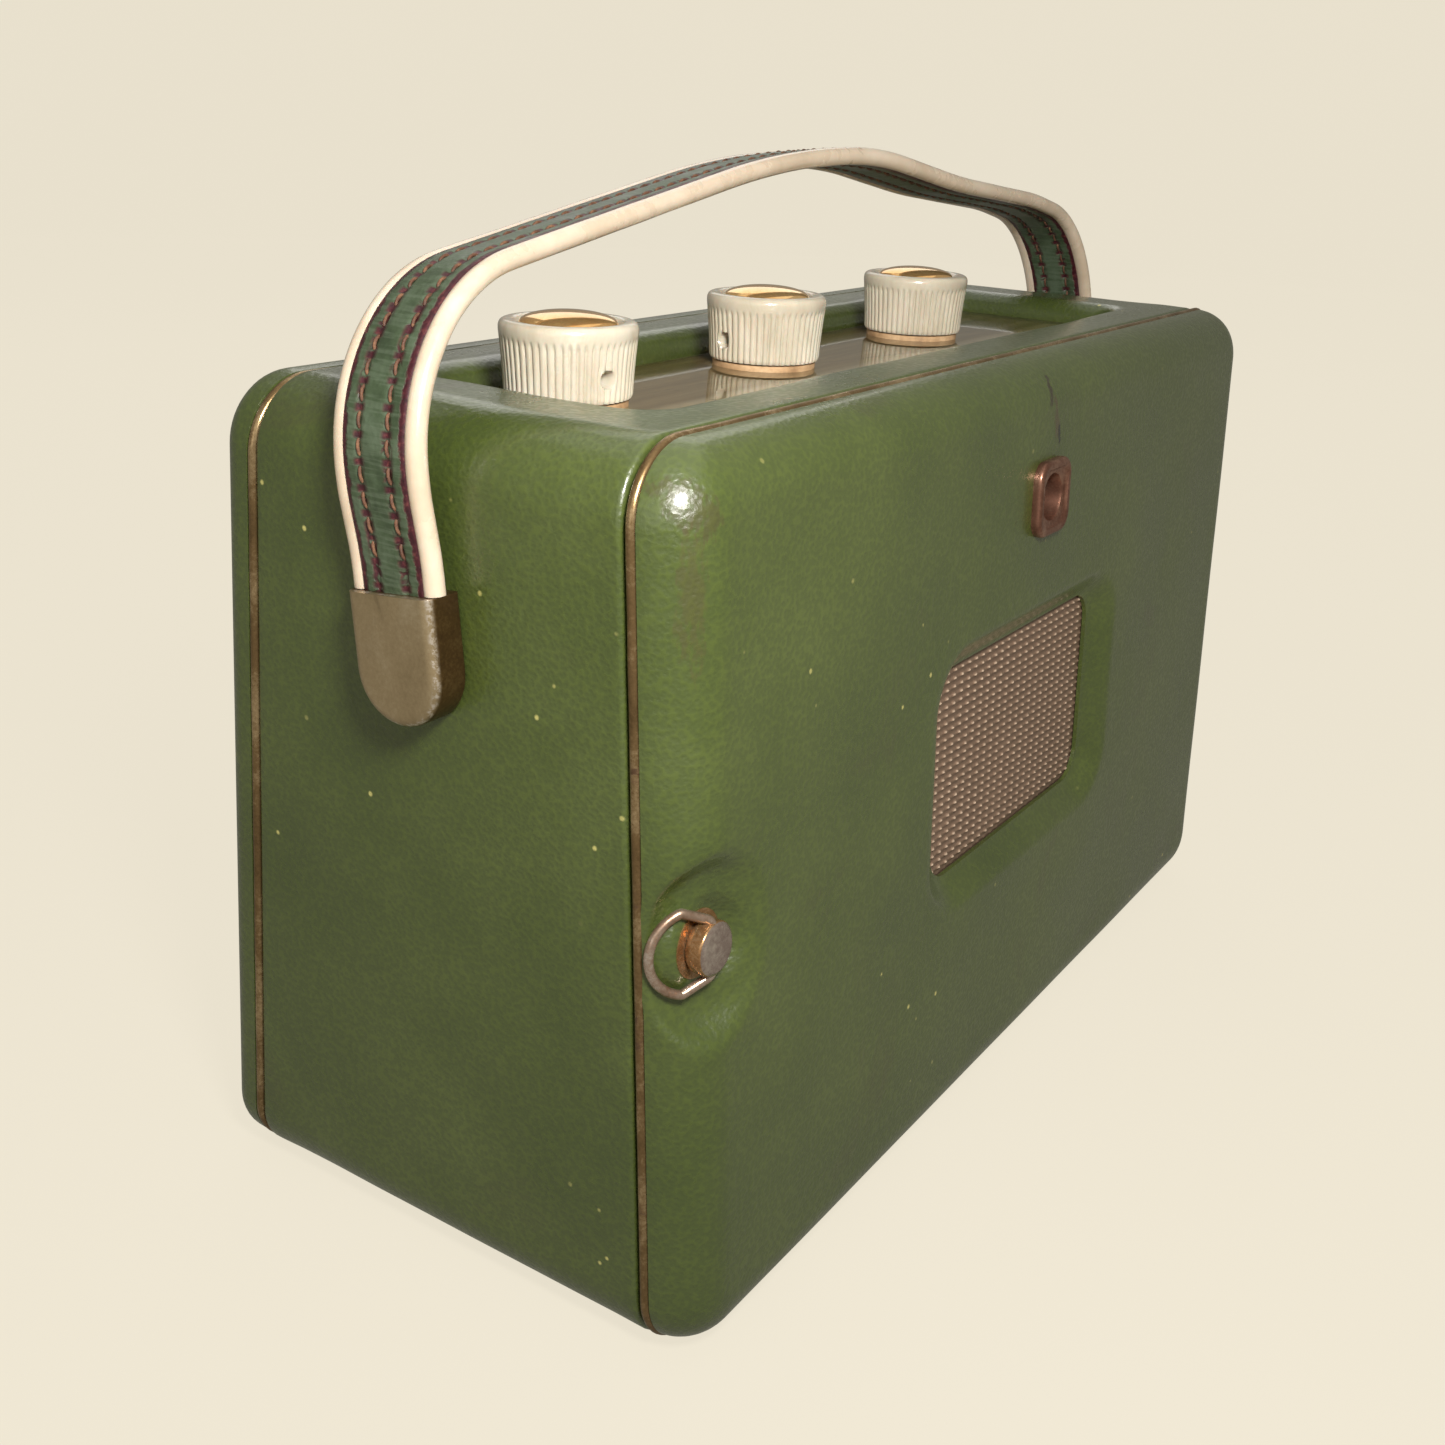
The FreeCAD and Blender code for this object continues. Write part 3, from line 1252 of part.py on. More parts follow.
def draw_cap(sketch, half, rise):
    """A cap's outline: a half round about the pivot, two upright sides and a flat top."""
    low_left = Vector(-half, 0, 0)
    low_right = Vector(half, 0, 0)
    high_left = Vector(-half, rise, 0)
    high_right = Vector(half, rise, 0)
    circle = Part.Circle(Vector(0, 0, 0), Z_AXIS, half)
    sketch.addGeometry(Part.LineSegment(high_left, low_left), False)
    sketch.addGeometry(Part.ArcOfCircle(circle, math.pi, 2 * math.pi), False)
    sketch.addGeometry(Part.LineSegment(low_right, high_right), False)
    sketch.addGeometry(Part.LineSegment(high_right, high_left), False)
    rules = (
        ("Tangent", 0, 2, 1, 1),
        ("Tangent", 1, 2, 2, 1),
        ("Coincident", 2, 2, 3, 1),
        ("Coincident", 3, 2, 0, 1),
        ("Vertical", 0),
        ("Horizontal", 3),
        ("Coincident", 1, 3, *ORIGIN_POINT),
    )
    for rule in rules:
        sketch.addConstraint(Sketcher.Constraint(*rule))
    radius_rule = sketch.addConstraint(Sketcher.Constraint("Radius", 1, half))
    sketch.setExpression(f"Constraints[{radius_rule}]", formula("cap_width / 2"))
    rise_rule = sketch.addConstraint(Sketcher.Constraint("DistanceY", *ORIGIN_POINT, 2, 2, rise))
    sketch.setExpression(f"Constraints[{rise_rule}]", formula("cap_rise"))


def make_caps():
    """The two metal end caps: round-ended, hollow for the strap and bored for the pivot stud."""
    half = size("cap_width") / 2
    rise = size("cap_rise")
    caps = []
    for side, label in SIDES:
        body = new_body(f"cap_{label}")
        start = CAP_FACE if side > 0 else f"-({CAP_FACE}) - cap_thickness"
        sketch = new_sketch(body, f"cap_{label}_outline", "YZ_Plane", start)
        draw_cap(sketch, half, rise)
        slab = pad(body, f"cap_{label}_slab", sketch, "cap_thickness")
        outer_x = side * (size("case_width") / 2 + size("cap_gap") + size("cap_thickness"))
        outer = [
            edge_name for edge_name in edges_where(slab, lambda edge: lies_at(edge, X_AXIS, outer_x))
            if slab.Shape.getElement(edge_name).CenterOfMass.z < rise - 0.1
        ]
        round_edges(body, f"cap_{label}_edges", slab, outer, "2.2")
        bore_x = f"{CAP_FACE} - 0.1" if side > 0 else f"-({CAP_FACE}) - 4.9"
        pivot_bore = cylinder(f"cap_bore_{label}", (bore_x, "0", "0"), BUSH_BORE, "5", "+x")
        slot_end = f"{CAP_FACE} + cap_thickness - cap_skin"
        slot_x = f"{slot_end} - strap_thickness" if side > 0 else f"-({slot_end})"
        slot_corner = (slot_x, "-strap_width / 2", "cap_rise - 8")
        strap_slot = box(f"cap_slot_{label}", slot_corner, "strap_thickness", "strap_width", "9")
        caps.append(cut(f"cap_{label}_cut", body, pivot_bore, strap_slot))
    return fuse("cap_pair", *caps)


def rounded_path(points, radii):
    """Straight runs through points in XZ, joined by tangent arcs."""
    edges = []
    start = points[0]
    for before, corner, after, radius in zip(points, points[1:], points[2:], radii):
        arriving = (corner - before).normalize()
        leaving = (after - corner).normalize()
        half_turn = arriving.getAngle(leaving) / 2
        tangent = radius * math.tan(half_turn)
        first = corner - arriving * tangent
        last = corner + leaving * tangent
        bisector = (leaving - arriving).normalize()
        middle = corner + bisector * (radius / math.cos(half_turn) - radius)
        edges.append(Part.LineSegment(start, first).toShape())
        edges.append(Part.Arc(first, middle, last).toShape())
        start = last
    edges.append(Part.LineSegment(start, points[-1]).toShape())
    return edges


cap_outer = size("case_width") / 2 + size("cap_gap") + size("cap_thickness")
STRAP_SIDE = cap_outer - size("cap_skin") - size("strap_thickness") / 2

# The strap's middle line above the caps, from left to right: across, rise and the bend's radius.
STRAP_BENDS = (
    (-STRAP_SIDE, 20.0, 60.0),
    (-STRAP_SIDE - 1.3, 31.0, 40.0),
    (-146.8, 62.6, 33.0),
    (-28.0, 83.2, 300.0),
    (12.3, 83.9, 150.0),
    (56.0, 76.5, 300.0),
    (103.7, 71.5, 120.0),
    (137.2, 64.7, 33.5),
    (STRAP_SIDE + 1.2, 31.0, 30.0),
    (STRAP_SIDE, 20.0, 60.0),
)


def strap_line(first_rise):
    """The wire that the band and its piping follow, starting and ending at one rise inside the caps."""
    bends = [Vector(across, 0, rise) for across, rise, radius in STRAP_BENDS]
    ends = [Vector(side * STRAP_SIDE, 0, first_rise) for side in (-1, 1)]
    radii = [radius for across, rise, radius in STRAP_BENDS]
    return Part.Wire(rounded_path([ends[0]] + bends + [ends[1]], radii))


def make_strap():
    """The leather band: a rectangle swept along the strap's middle line."""
    path = strap_line(size("cap_rise") - 7.5)
    half = size("strap_width") / 2
    thick = size("strap_thickness") / 2
    start = path.Edges[0].Vertexes[0].Point
    signs = ((-1, -1), (1, -1), (1, 1), (-1, 1))
    corners = [Vector(one * thick, other * half, 0) for one, other in signs]
    section = Part.makePolygon([start + corner for corner in corners + corners[:1]])
    return path.makePipeShell([section], True, True, 2)


def make_piping():
    """The two piping cords sewn along the band's edges, from cap to cap."""
    cords = []
    reach = size("strap_width") / 2 + size("piping_radius") - size("piping_lap")
    for side in (-1, 1):
        path = strap_line(size("cap_rise") + 0.1)
        path.translate(Vector(0, side * reach, 0))
        start = path.Edges[0].Vertexes[0].Point
        circle = Part.Wire(Part.makeCircle(size("piping_radius"), start, Z_AXIS))
        cords.append(path.makePipeShell([circle], True, True, 2))
    return cords


part("handle_caps", make_caps(), HANDLE)
strap = make_strap()
cords = make_piping()
feature("handle_strap", strap.cut(Part.makeCompound(cords)), HANDLE)
feature("handle_piping", Part.makeCompound(cords), HANDLE)

pivot_studs = []
for side, label in SIDES:
    inner = f"{SIDE_INNER} - 2" if side > 0 else f"-{HALF} - cap_gap - 4.5"
    rod_start = (inner, "pivot_y", "pivot_up")
    rod = cylinder(f"pivot_rod_{label}", rod_start, "shaft_radius", "2 + wall + cap_gap + 4.5", "+x")
    head_x = f"{SIDE_INNER} - 2" if side > 0 else f"-{SIDE_INNER}"
    pivot_head = cylinder(f"pivot_head_{label}", (head_x, "pivot_y", "pivot_up"), "6", "2", "+x")
    pivot_studs.append(fuse(f"pivot_stud_{label}", rod, pivot_head))
part("handle_pivot_studs", fuse("pivot_stud_set", *pivot_studs))

# --- checks and export --------------------------------------------------------------------------------

doc.recompute()
faults = [item.Label for item in doc.Objects if {"Invalid", "Error"} & set(item.State)]
if faults:
    raise RuntimeError(f"objects that failed to build: {faults}")
for item in parts:
    if item.Shape.isNull() or not item.Shape.isValid():
        raise RuntimeError(f"{item.Label} has no valid shape")

os.makedirs("parts", exist_ok=True)
for item in parts:
    item.Shape.exportStep(f"parts/{item.Label}.step")
    print(f"{item.Label:28s} solids {len(item.Shape.Solids):3d}  volume {item.Shape.Volume / 1000:9.2f} cm3")
print(len(parts), "nodes")
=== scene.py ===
"""Looks for a portable radio in a leathercloth-covered case, seen from behind.

Shapes are worked out in millimetres in the part's own frame and written to the meshes in metres.
Y points to the loudspeaker front, so the hinged door is on the -Y side.
"""

import json
import math

import bmesh
import bpy
import numpy as np
from mathutils import Matrix, Vector


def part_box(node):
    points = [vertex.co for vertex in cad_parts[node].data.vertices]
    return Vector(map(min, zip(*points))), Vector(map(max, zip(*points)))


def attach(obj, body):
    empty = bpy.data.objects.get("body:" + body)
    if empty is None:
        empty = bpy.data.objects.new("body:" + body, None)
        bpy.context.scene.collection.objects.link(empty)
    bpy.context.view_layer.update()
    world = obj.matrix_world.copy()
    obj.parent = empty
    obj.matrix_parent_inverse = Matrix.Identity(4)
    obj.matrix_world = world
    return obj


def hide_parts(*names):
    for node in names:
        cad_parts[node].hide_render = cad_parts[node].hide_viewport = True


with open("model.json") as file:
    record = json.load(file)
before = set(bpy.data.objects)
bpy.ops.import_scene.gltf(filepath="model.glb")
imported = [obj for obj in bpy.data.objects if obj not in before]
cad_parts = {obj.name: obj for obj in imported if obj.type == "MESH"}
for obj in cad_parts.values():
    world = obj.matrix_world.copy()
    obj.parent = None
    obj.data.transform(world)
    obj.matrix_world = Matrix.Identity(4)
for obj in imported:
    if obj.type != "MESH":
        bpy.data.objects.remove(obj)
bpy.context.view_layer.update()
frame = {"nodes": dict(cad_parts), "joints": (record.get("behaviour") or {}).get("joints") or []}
MM = 0.001
DRAW = np.random.default_rng(7)


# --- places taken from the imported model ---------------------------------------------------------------

def box_mm(node):
    """The lowest and highest corner of a CAD node, in millimetres."""
    low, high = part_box(node)
    return np.array(low) / MM, np.array(high) / MM


def joint_place(name):
    """A joint's own point, in millimetres, and its axis."""
    joint = next(joint for joint in frame["joints"] if joint["name"] == name)
    return np.array(joint["pos_m"], float) / MM, np.array(joint["axis"], float)


CASE_LOW, CASE_HIGH = box_mm("case_shell")
HALF = CASE_HIGH[0]
TALL = CASE_HIGH[2]

# sizes shared with the part's source, in millimetres and degrees
WALL = 7.0
CORNER = 13.5
FRONT_TOP = 38.65
HANDLE_LEAN = -5.9

REAR_BASE = -CASE_LOW[1]
FRONT_BASE = CASE_HIGH[1]
HINGE_POINT, HINGE_AXIS = joint_place("door_hinge")
REAR_SLOPE = HINGE_AXIS[1] / HINGE_AXIS[2]
FRONT_SLOPE = (FRONT_BASE - FRONT_TOP) / TALL
REAR_LEAN = -math.atan2(HINGE_AXIS[1], HINGE_AXIS[2])
FRONT_LEAN = math.atan2(FRONT_BASE - FRONT_TOP, TALL)
REAR = ((0.0, -REAR_BASE, 0.0), REAR_LEAN)
FRONT = ((0.0, FRONT_BASE, 0.0), FRONT_LEAN)
PIVOT = joint_place("handle_swing")[0]
HANDLE = ((0.0, PIVOT[1], PIVOT[2]), math.radians(HANDLE_LEAN))


def leaned(points, place):
    """Points of a frame that is leaned about X, in the part's frame."""
    origin, angle = place
    c, s = math.cos(angle), math.sin(angle)
    x, y, z = points[..., 0], points[..., 1], points[..., 2]
    return np.stack([x + origin[0], c * y - s * z + origin[1], s * y + c * z + origin[2]], axis=-1)


def unleaned(points, place):
    """Points of the part's frame, in a leaned frame."""
    origin, angle = place
    c, s = math.cos(angle), math.sin(angle)
    x, y, z = (points[..., k] - origin[k] for k in range(3))
    return np.stack([x, c * y + s * z, -s * y + c * z], axis=-1)


# --- small maths --------------------------------------------------------------------------------------

def smooth(low, high, value):
    """0 below low, 1 above high, and a smooth step between."""
    t = np.clip((value - low) / (high - low), 0.0, 1.0)
    return t * t * (3.0 - 2.0 * t)


def soft_max(a, b, width):
    """The larger of two values, rounded where they are within width of each other."""
    near = np.clip(width - np.abs(a - b), 0.0, None) / width
    return np.maximum(a, b) + near * near * width / 4.0


def ripple(points, length, seed):
    """A smooth field of about -1 to 1 that varies over a length in millimetres."""
    draw = np.random.default_rng(seed)
    total = np.zeros(points.shape[:-1])
    for _ in range(7):
        way = draw.normal(size=3)
        way *= draw.uniform(0.6, 1.4) * 2 * math.pi / length / np.linalg.norm(way)
        total += np.sin(points @ way + draw.uniform(0, 2 * math.pi))
    return total / 3.5


def lerp(a, b, t):
    """The value a share t of the way from a to b."""
    return a + (b - a) * t


# --- meshes -------------------------------------------------------------------------------------------

class Shape:
    """Vertices and faces gathered patch by patch, with a material number on each face."""

    def __init__(self):
        self.points, self.faces, self.kinds, self.count = [], [], [], 0

    def grid(self, rows, kind=0, close_rows=False, close_columns=False):
        """A patch of quads over rows of points, an array of (rows, columns, 3)."""
        rows = np.asarray(rows, float)
        high, wide = rows.shape[:2]
        index = np.arange(high * wide).reshape(high, wide) + self.count
        if close_rows:
            index = np.vstack([index, index[:1]])
        if close_columns:
            index = np.hstack([index, index[:, :1]])
        quads = np.stack(
            [index[:-1, :-1], index[:-1, 1:], index[1:, 1:], index[1:, :-1]], axis=-1).reshape(-1, 4)
        self.points.append(rows.reshape(-1, 3))
        self.faces.extend(quads.tolist())
        self.kinds.extend([kind] * len(quads))
        self.count += high * wide
        return index

    def fan(self, ring, centre, kind=0):
        """A ring of points closed to one centre point."""
        ring = np.asarray(ring, float)
        start = self.count
        self.points.append(np.vstack([ring, np.asarray(centre, float)[None]]))
        size = len(ring)
        self.faces.extend([start + i, start + (i + 1) % size, start + size] for i in range(size))
        self.kinds.extend([kind] * size)
        self.count += size + 1

    def capped_tube(self, rings, kind=0):
        """Closed rings joined into a tube, with both ends closed."""
        rings = np.asarray(rings, float)
        self.grid(rings, kind, close_columns=True)
        self.fan(rings[0], rings[0].mean(axis=0), kind)
        self.fan(rings[-1], rings[-1].mean(axis=0), kind)

    def build(self, name, body, materials, replaces=(), weld=0.004, sharp=38.0, place=None, drop=None):
        """The piece as an object: welded, with its faces turned outwards, riding on its body."""
        points = np.vstack(self.points)
        if place is not None:
            points = leaned(points, place)
        points[:, 2] = np.maximum(points[:, 2], 0.0)
        mesh = bpy.data.meshes.new(name)
        mesh.from_pydata((points * MM).tolist(), [], self.faces)
        mesh.polygons.foreach_set("material_index", self.kinds)
        for material in materials:
            mesh.materials.append(material)
        work = bmesh.new()
        work.from_mesh(mesh)
        bmesh.ops.remove_doubles(work, verts=work.verts, dist=weld * MM)
        bmesh.ops.dissolve_degenerate(work, edges=work.edges, dist=weld * MM * 0.5)
        if drop is not None:
            doomed = [face for face in work.faces if drop(face.calc_center_median() / MM)]
            bmesh.ops.delete(work, geom=doomed, context="FACES")
        bmesh.ops.recalc_face_normals(work, faces=work.faces)
        work.to_mesh(mesh)
        work.free()
        mesh.polygons.foreach_set("use_smooth", [True] * len(mesh.polygons))
        mesh.set_sharp_from_angle(angle=math.radians(sharp))
        piece = bpy.data.objects.new(name, mesh)
        bpy.context.scene.collection.objects.link(piece)
        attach(piece, body)
        if replaces:
            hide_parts(*replaces)
        return piece


def local_points(piece, place):
    """A built piece's vertices, in millimetres in its leaned frame."""
    return unleaned(np.array([vertex.co[:] for vertex in piece.data.vertices]) / MM, place)


def outline(left, right, low, high, radii, across, up, bend):
    """Points round a rounded rectangle, anticlockwise from its low left, and their outward normals.

    radii is one radius, or four: low right, high right, high left and low left.
    """
    radii = [radii] * 4 if np.isscalar(radii) else list(radii)
    centres = [
        (right - radii[0], low + radii[0]), (right - radii[1], high - radii[1]),
        (left + radii[2], high - radii[2]), (left + radii[3], low + radii[3])]
    points, normals = [], []
    for turn in range(4):
        way = np.array([math.cos(turn * math.pi / 2), math.sin(turn * math.pi / 2)])
        out = np.array([way[1], -way[0]])
        start = np.array(centres[turn - 1]) + out * radii[turn - 1]
        end = np.array(centres[turn]) + out * radii[turn]
        steps = across if turn % 2 == 0 else up
        for step in range(steps):
            points.append(lerp(start, end, step / steps))
            normals.append(out)
        for step in range(bend):
            angle = math.pi / 2 * step / bend + (turn - 1) * math.pi / 2
            normal = np.array([math.cos(angle), math.sin(angle)])
            points.append(np.array(centres[turn]) + normal * radii[turn])
            normals.append(normal)
    return np.array(points), np.array(normals)


def ring_at(points, normals, offset, level, squeeze=1.0):
    """A ring in XZ: an outline moved out by an offset, at a level along Y. squeeze scales its move in Z."""
    moved = points + normals * np.array([1.0, squeeze]) * offset
    return np.stack([moved[:, 0], np.full(len(moved), float(level)), moved[:, 1]], axis=-1)


def flat_ring(points, height):
    """A ring of plan points, all at one height."""
    return np.column_stack([points, np.full(len(points), float(height))])


def quarter(radius, steps, first=0.0, last=90.0):
    """(distance out, depth) pairs along a quarter round."""
    angles = np.radians(np.linspace(first, last, steps + 1))
    return [(radius * math.sin(a), radius * (1.0 - math.cos(a))) for a in angles]


def level_ring(angles, radius, height):
    """A level ring about +Z, whose radius may differ from point to point."""
    return np.stack([radius * np.cos(angles), radius * np.sin(angles), np.full(len(angles), height)], axis=-1)


def turned(profile, steps):
    """Rings of points for a solid of revolution about +Z: profile is a list of (radius, height)."""
    angles = np.linspace(0, 2 * math.pi, steps, endpoint=False)
    return np.array([level_ring(angles, radius, height) for radius, height in profile])


def rounded_profile(corners, steps=5):
    """A polyline of (a, b) points whose inner corners are rounded; each corner is (a, b, radius)."""
    made = [np.array(corners[0][:2], float)]
    for before, corner, after in zip(corners, corners[1:], corners[2:]):
        p0, p1, p2 = (np.array(c[:2], float) for c in (before, corner, after))
        radius = corner[2]
        if radius <= 0:
            made.append(p1)
            continue
        one, two = (p0 - p1) / np.linalg.norm(p0 - p1), (p2 - p1) / np.linalg.norm(p2 - p1)
        start, end = p1 + one * radius, p1 + two * radius
        for step in range(steps + 1):
            t = step / steps
            made.append((1 - t) ** 2 * start + 2 * t * (1 - t) * p1 + t * t * end)
    made.append(np.array(corners[-1][:2], float))
    return np.array(made)


def tube_rings(path, radius, sides):
    """Rings round a path, carried along without twisting. radius may be one number or one per point."""
    path = np.asarray(path, float)
    tangents = np.gradient(path, axis=0)
    tangents /= np.linalg.norm(tangents, axis=1)[:, None]
    side = np.cross(tangents[0], [0.0, 1.0, 0.0])
    if np.linalg.norm(side) < 0.1:
        side = np.cross(tangents[0], [1.0, 0.0, 0.0])
    side /= np.linalg.norm(side)
    radii = np.broadcast_to(radius, (len(path),))
    angles = np.linspace(0, 2 * math.pi, sides, endpoint=False)
    rings = []
    for point, tangent, r in zip(path, tangents, radii):
        side = side - tangent * (side @ tangent)
        side /= np.linalg.norm(side)
        up = np.cross(tangent, side)
        rings.append(point + r * (np.cos(angles)[:, None] * side + np.sin(angles)[:, None] * up))
    return np.array(rings)


# --- materials ----------------------------------------------------------------------------------------

def linear(colour):
    """An sRGB colour of 0 to 255 as linear numbers."""
    c = np.array(colour[:3], float) / 255.0
    made = np.where(c <= 0.04045, c / 12.92, ((c + 0.055) / 1.055) ** 2.4)
    return (*made.tolist(), 1.0)


class Nodes:
    """A short way to write a material's node tree."""

    def __init__(self, name):
        self.material = bpy.data.materials.new(name)
        self.material.use_nodes = True
        self.tree = self.material.node_tree
        self.tree.nodes.clear()
        self.out = self.new("ShaderNodeOutputMaterial")
        self.place = self.new("ShaderNodeTexCoord").outputs["Object"]

    def new(self, kind, **settings):
        """A new node with some of its settings."""
        node = self.tree.nodes.new(kind)
        for key, value in settings.items():
            setattr(node, key, value)
        return node

    def feed(self, node, **inputs):
        """Sets or links inputs. A key is an input's name with _ for a space, or i and its number."""
        for key, value in inputs.items():
            numbered = key[0] == "i" and key[1:].isdigit()
            socket = node.inputs[int(key[1:]) if numbered else key.replace("_", " ")]
            if isinstance(value, bpy.types.NodeSocket):
                self.tree.links.new(value, socket)
            else:
                socket.default_value = value
        return node

    def stretched(self, factors, source=None):
        """The place on the piece, scaled along each axis."""
        node = self.new("ShaderNodeVectorMath", operation="MULTIPLY")
        self.feed(node, i0=source or self.place, i1=factors)
        return node.outputs[0]

    def noise(self, scale, detail=3.0, rough=0.55, source=None, warp=0.0):
        node = self.new("ShaderNodeTexNoise")
        self.feed(
            node, Vector=source or self.place, Scale=scale, Detail=detail, Roughness=rough, Distortion=warp)
        return node.outputs["Fac"]

    def cells(self, scale, feature="F1", source=None, smoothness=None):
        node = self.new("ShaderNodeTexVoronoi", feature=feature)
        self.feed(node, Vector=source or self.place, Scale=scale)
        if smoothness is not None:
            self.feed(node, Smoothness=smoothness)
        return node.outputs["Distance"]

    def maths(self, operation, first, second=0.0, clamp=False):
        """One operation on numbers or sockets."""
        node = self.new("ShaderNodeMath", operation=operation, use_clamp=clamp)
        self.feed(node, i0=first, i1=second)
        return node.outputs[0]

    def weigh(self, *terms):
        """A sum of values, each given as (value, weight)."""
        parts = [self.maths("MULTIPLY", value, weight) for value, weight in terms]
        total = parts[0]
        for part in parts[1:]:
            total = self.maths("ADD", total, part)
        return total

    def spread(self, value, low, high, to_low=0.0, to_high=1.0):
        """Maps a value from one range to another, and stays inside it."""
        node = self.new("ShaderNodeMapRange", interpolation_type="SMOOTHSTEP")
        self.feed(node, Value=value, From_Min=low, From_Max=high, To_Min=to_low, To_Max=to_high)
        return node.outputs[0]

    def ramp(self, value, *stops):
        """A colour ramp: stops are (position, sRGB colour)."""
        node = self.new("ShaderNodeValToRGB")
        bar = node.color_ramp.elements
        while len(bar) < len(stops):
            bar.new(0.5)
        for element, (position, colour) in zip(bar, stops):
            element.position = position
            element.color = linear(colour)
        self.feed(node, i0=value)
        return node.outputs[0]

    def mix(self, share, first, second):
        """A mix of two colours, each a socket or an sRGB colour."""
        node = self.new("ShaderNodeMix", data_type="RGBA")
        first, second = (c if isinstance(c, bpy.types.NodeSocket) else linear(c) for c in (first, second))
        self.feed(node, i0=share, i6=first, i7=second)
        return node.outputs[2]

    def bump(self, height, distance, strength=1.0, under=None):
        """A normal bumped by a height, over another one if given. distance is in millimetres."""
        node = self.feed(self.new("ShaderNodeBump"), Height=height, Distance=distance * MM, Strength=strength)
        if under is not None:
            self.feed(node, Normal=under)
        return node.outputs[0]

    def split(self, source=None):
        """The X, Y and Z of a place, the place on the piece if none is given."""
        return self.feed(self.new("ShaderNodeSeparateXYZ"), i0=source or self.place).outputs

    def shader(self, **inputs):
        """Ends the tree with a principled shader, and gives the material."""
        node = self.feed(self.new("ShaderNodeBsdfPrincipled"), **inputs)
        self.feed(self.out, Surface=node.outputs[0])
        return self.material


def plain_finish(name, dark, middle, light, scale=60.0, metallic=0.0, rough=(0.3, 0.5), grain=900.0,
                 depth=0.03, stretch=(1, 1, 1), specks=None, **shader):
    """A finish with mottled colour, varied roughness and a fine bumpy grain, all from noise."""
    n = Nodes(name)
    where = n.stretched(stretch)
    broad = n.noise(scale, 4.0, 0.6, where)
    fine = n.noise(grain, 3.0, 0.6, where)
    both = n.weigh((broad, 0.75), (fine, 0.25))
    colour = n.ramp(both, (0.34, dark), (0.5, middle), (0.66, light))
    if specks:
        spot_scale, spot_colour, amount = specks
        spots = n.spread(n.cells(spot_scale), 0.02 + amount, amount * 0.4)
        colour = n.mix(spots, colour, spot_colour)
    return n.shader(
        Base_Color=colour, Metallic=metallic, Roughness=n.spread(both, 0.35, 0.65, rough[0], rough[1]),
        Normal=n.bump(fine, depth), **shader,
    )


CLOTH_COAT = {"IOR": 1.5, "Coat_Weight": 0.5, "Coat_Roughness": 0.17}


def leathercloth(name, scars=()):
    """Green embossed leathercloth: pebbled grain, rubbed and dirty patches, paint specks and dark scars."""
    n = Nodes(name)
    warped = n.stretched((1.0, 1.0, 1.15))
    pebble = n.cells(980.0, "SMOOTH_F1", warped, smoothness=0.6)
    wrinkle = n.noise(520.0, 3.0, 0.6, warped, 0.6)
    cloudy = n.noise(38.0, 4.0, 0.6)
    tone = n.weigh((n.noise(9.0, 5.0, 0.6), 0.6), (cloudy, 0.4))
    colour = n.ramp(tone, (0.34, (60, 71, 31)), (0.5, (68, 79, 35)), (0.66, (76, 87, 41)))
    hollows = n.spread(pebble, 0.75, 0.35, 0.0, 0.3)
    colour = n.mix(hollows, colour, (42, 52, 28))
    grime = n.maths("MULTIPLY", n.spread(n.noise(22.0, 6.0, 0.7, warp=0.8), 0.56, 0.74), 0.5)
    colour = n.mix(grime, colour, (62, 62, 38))
    specks = n.spread(n.cells(110.0), 0.075, 0.03)
    thin = n.spread(n.noise(30.0), 0.48, 0.6)
    colour = n.mix(n.maths("MULTIPLY", specks, thin), colour, (166, 160, 96))
    for scar in scars:
        inside, tint = scar_shape(n, *scar)
        colour = n.mix(inside, colour, tint)
    height = n.weigh((pebble, 0.55), (wrinkle, 0.75), (n.noise(2300.0, 2.0, 0.5), 0.12))
    rough = n.maths("ADD", n.spread(cloudy, 0.35, 0.7, 0.26, 0.36), n.maths("MULTIPLY", hollows, 0.25))
    swell = n.bump(n.noise(55.0, 2.0), 0.35, 0.5)
    return n.shader(Base_Color=colour, Roughness=rough, Normal=n.bump(height, 0.2, 0.85, swell), **CLOTH_COAT)


def scar_shape(n, x, up, wide, tall, slant, tint, strength):
    """How strongly a ragged, slanted oval with its middle at (x, up) marks the door, and its colour."""
    centre = leaned(np.array([x, 0.0, up]), REAR) * MM
    px, _, pz = n.split()
    dz = n.maths("SUBTRACT", pz, float(centre[2]))
    dx = n.maths("ADD", n.maths("SUBTRACT", px, float(centre[0])), n.maths("MULTIPLY", dz, slant))
    squares = [n.maths("POWER", n.maths("DIVIDE", d, size * MM), 2.0) for d, size in ((dx, wide), (dz, tall))]
    scratch = n.noise(700.0, 4.0, 0.7, n.stretched((1.0, 1.0, 0.4)))
    ragged = n.maths("MULTIPLY", n.maths("SUBTRACT", scratch, 0.5), 5.0)
    inside = n.spread(n.maths("ADD", n.maths("ADD", *squares), ragged), 1.1, 0.2)
    return n.maths("MULTIPLY", inside, strength), tint


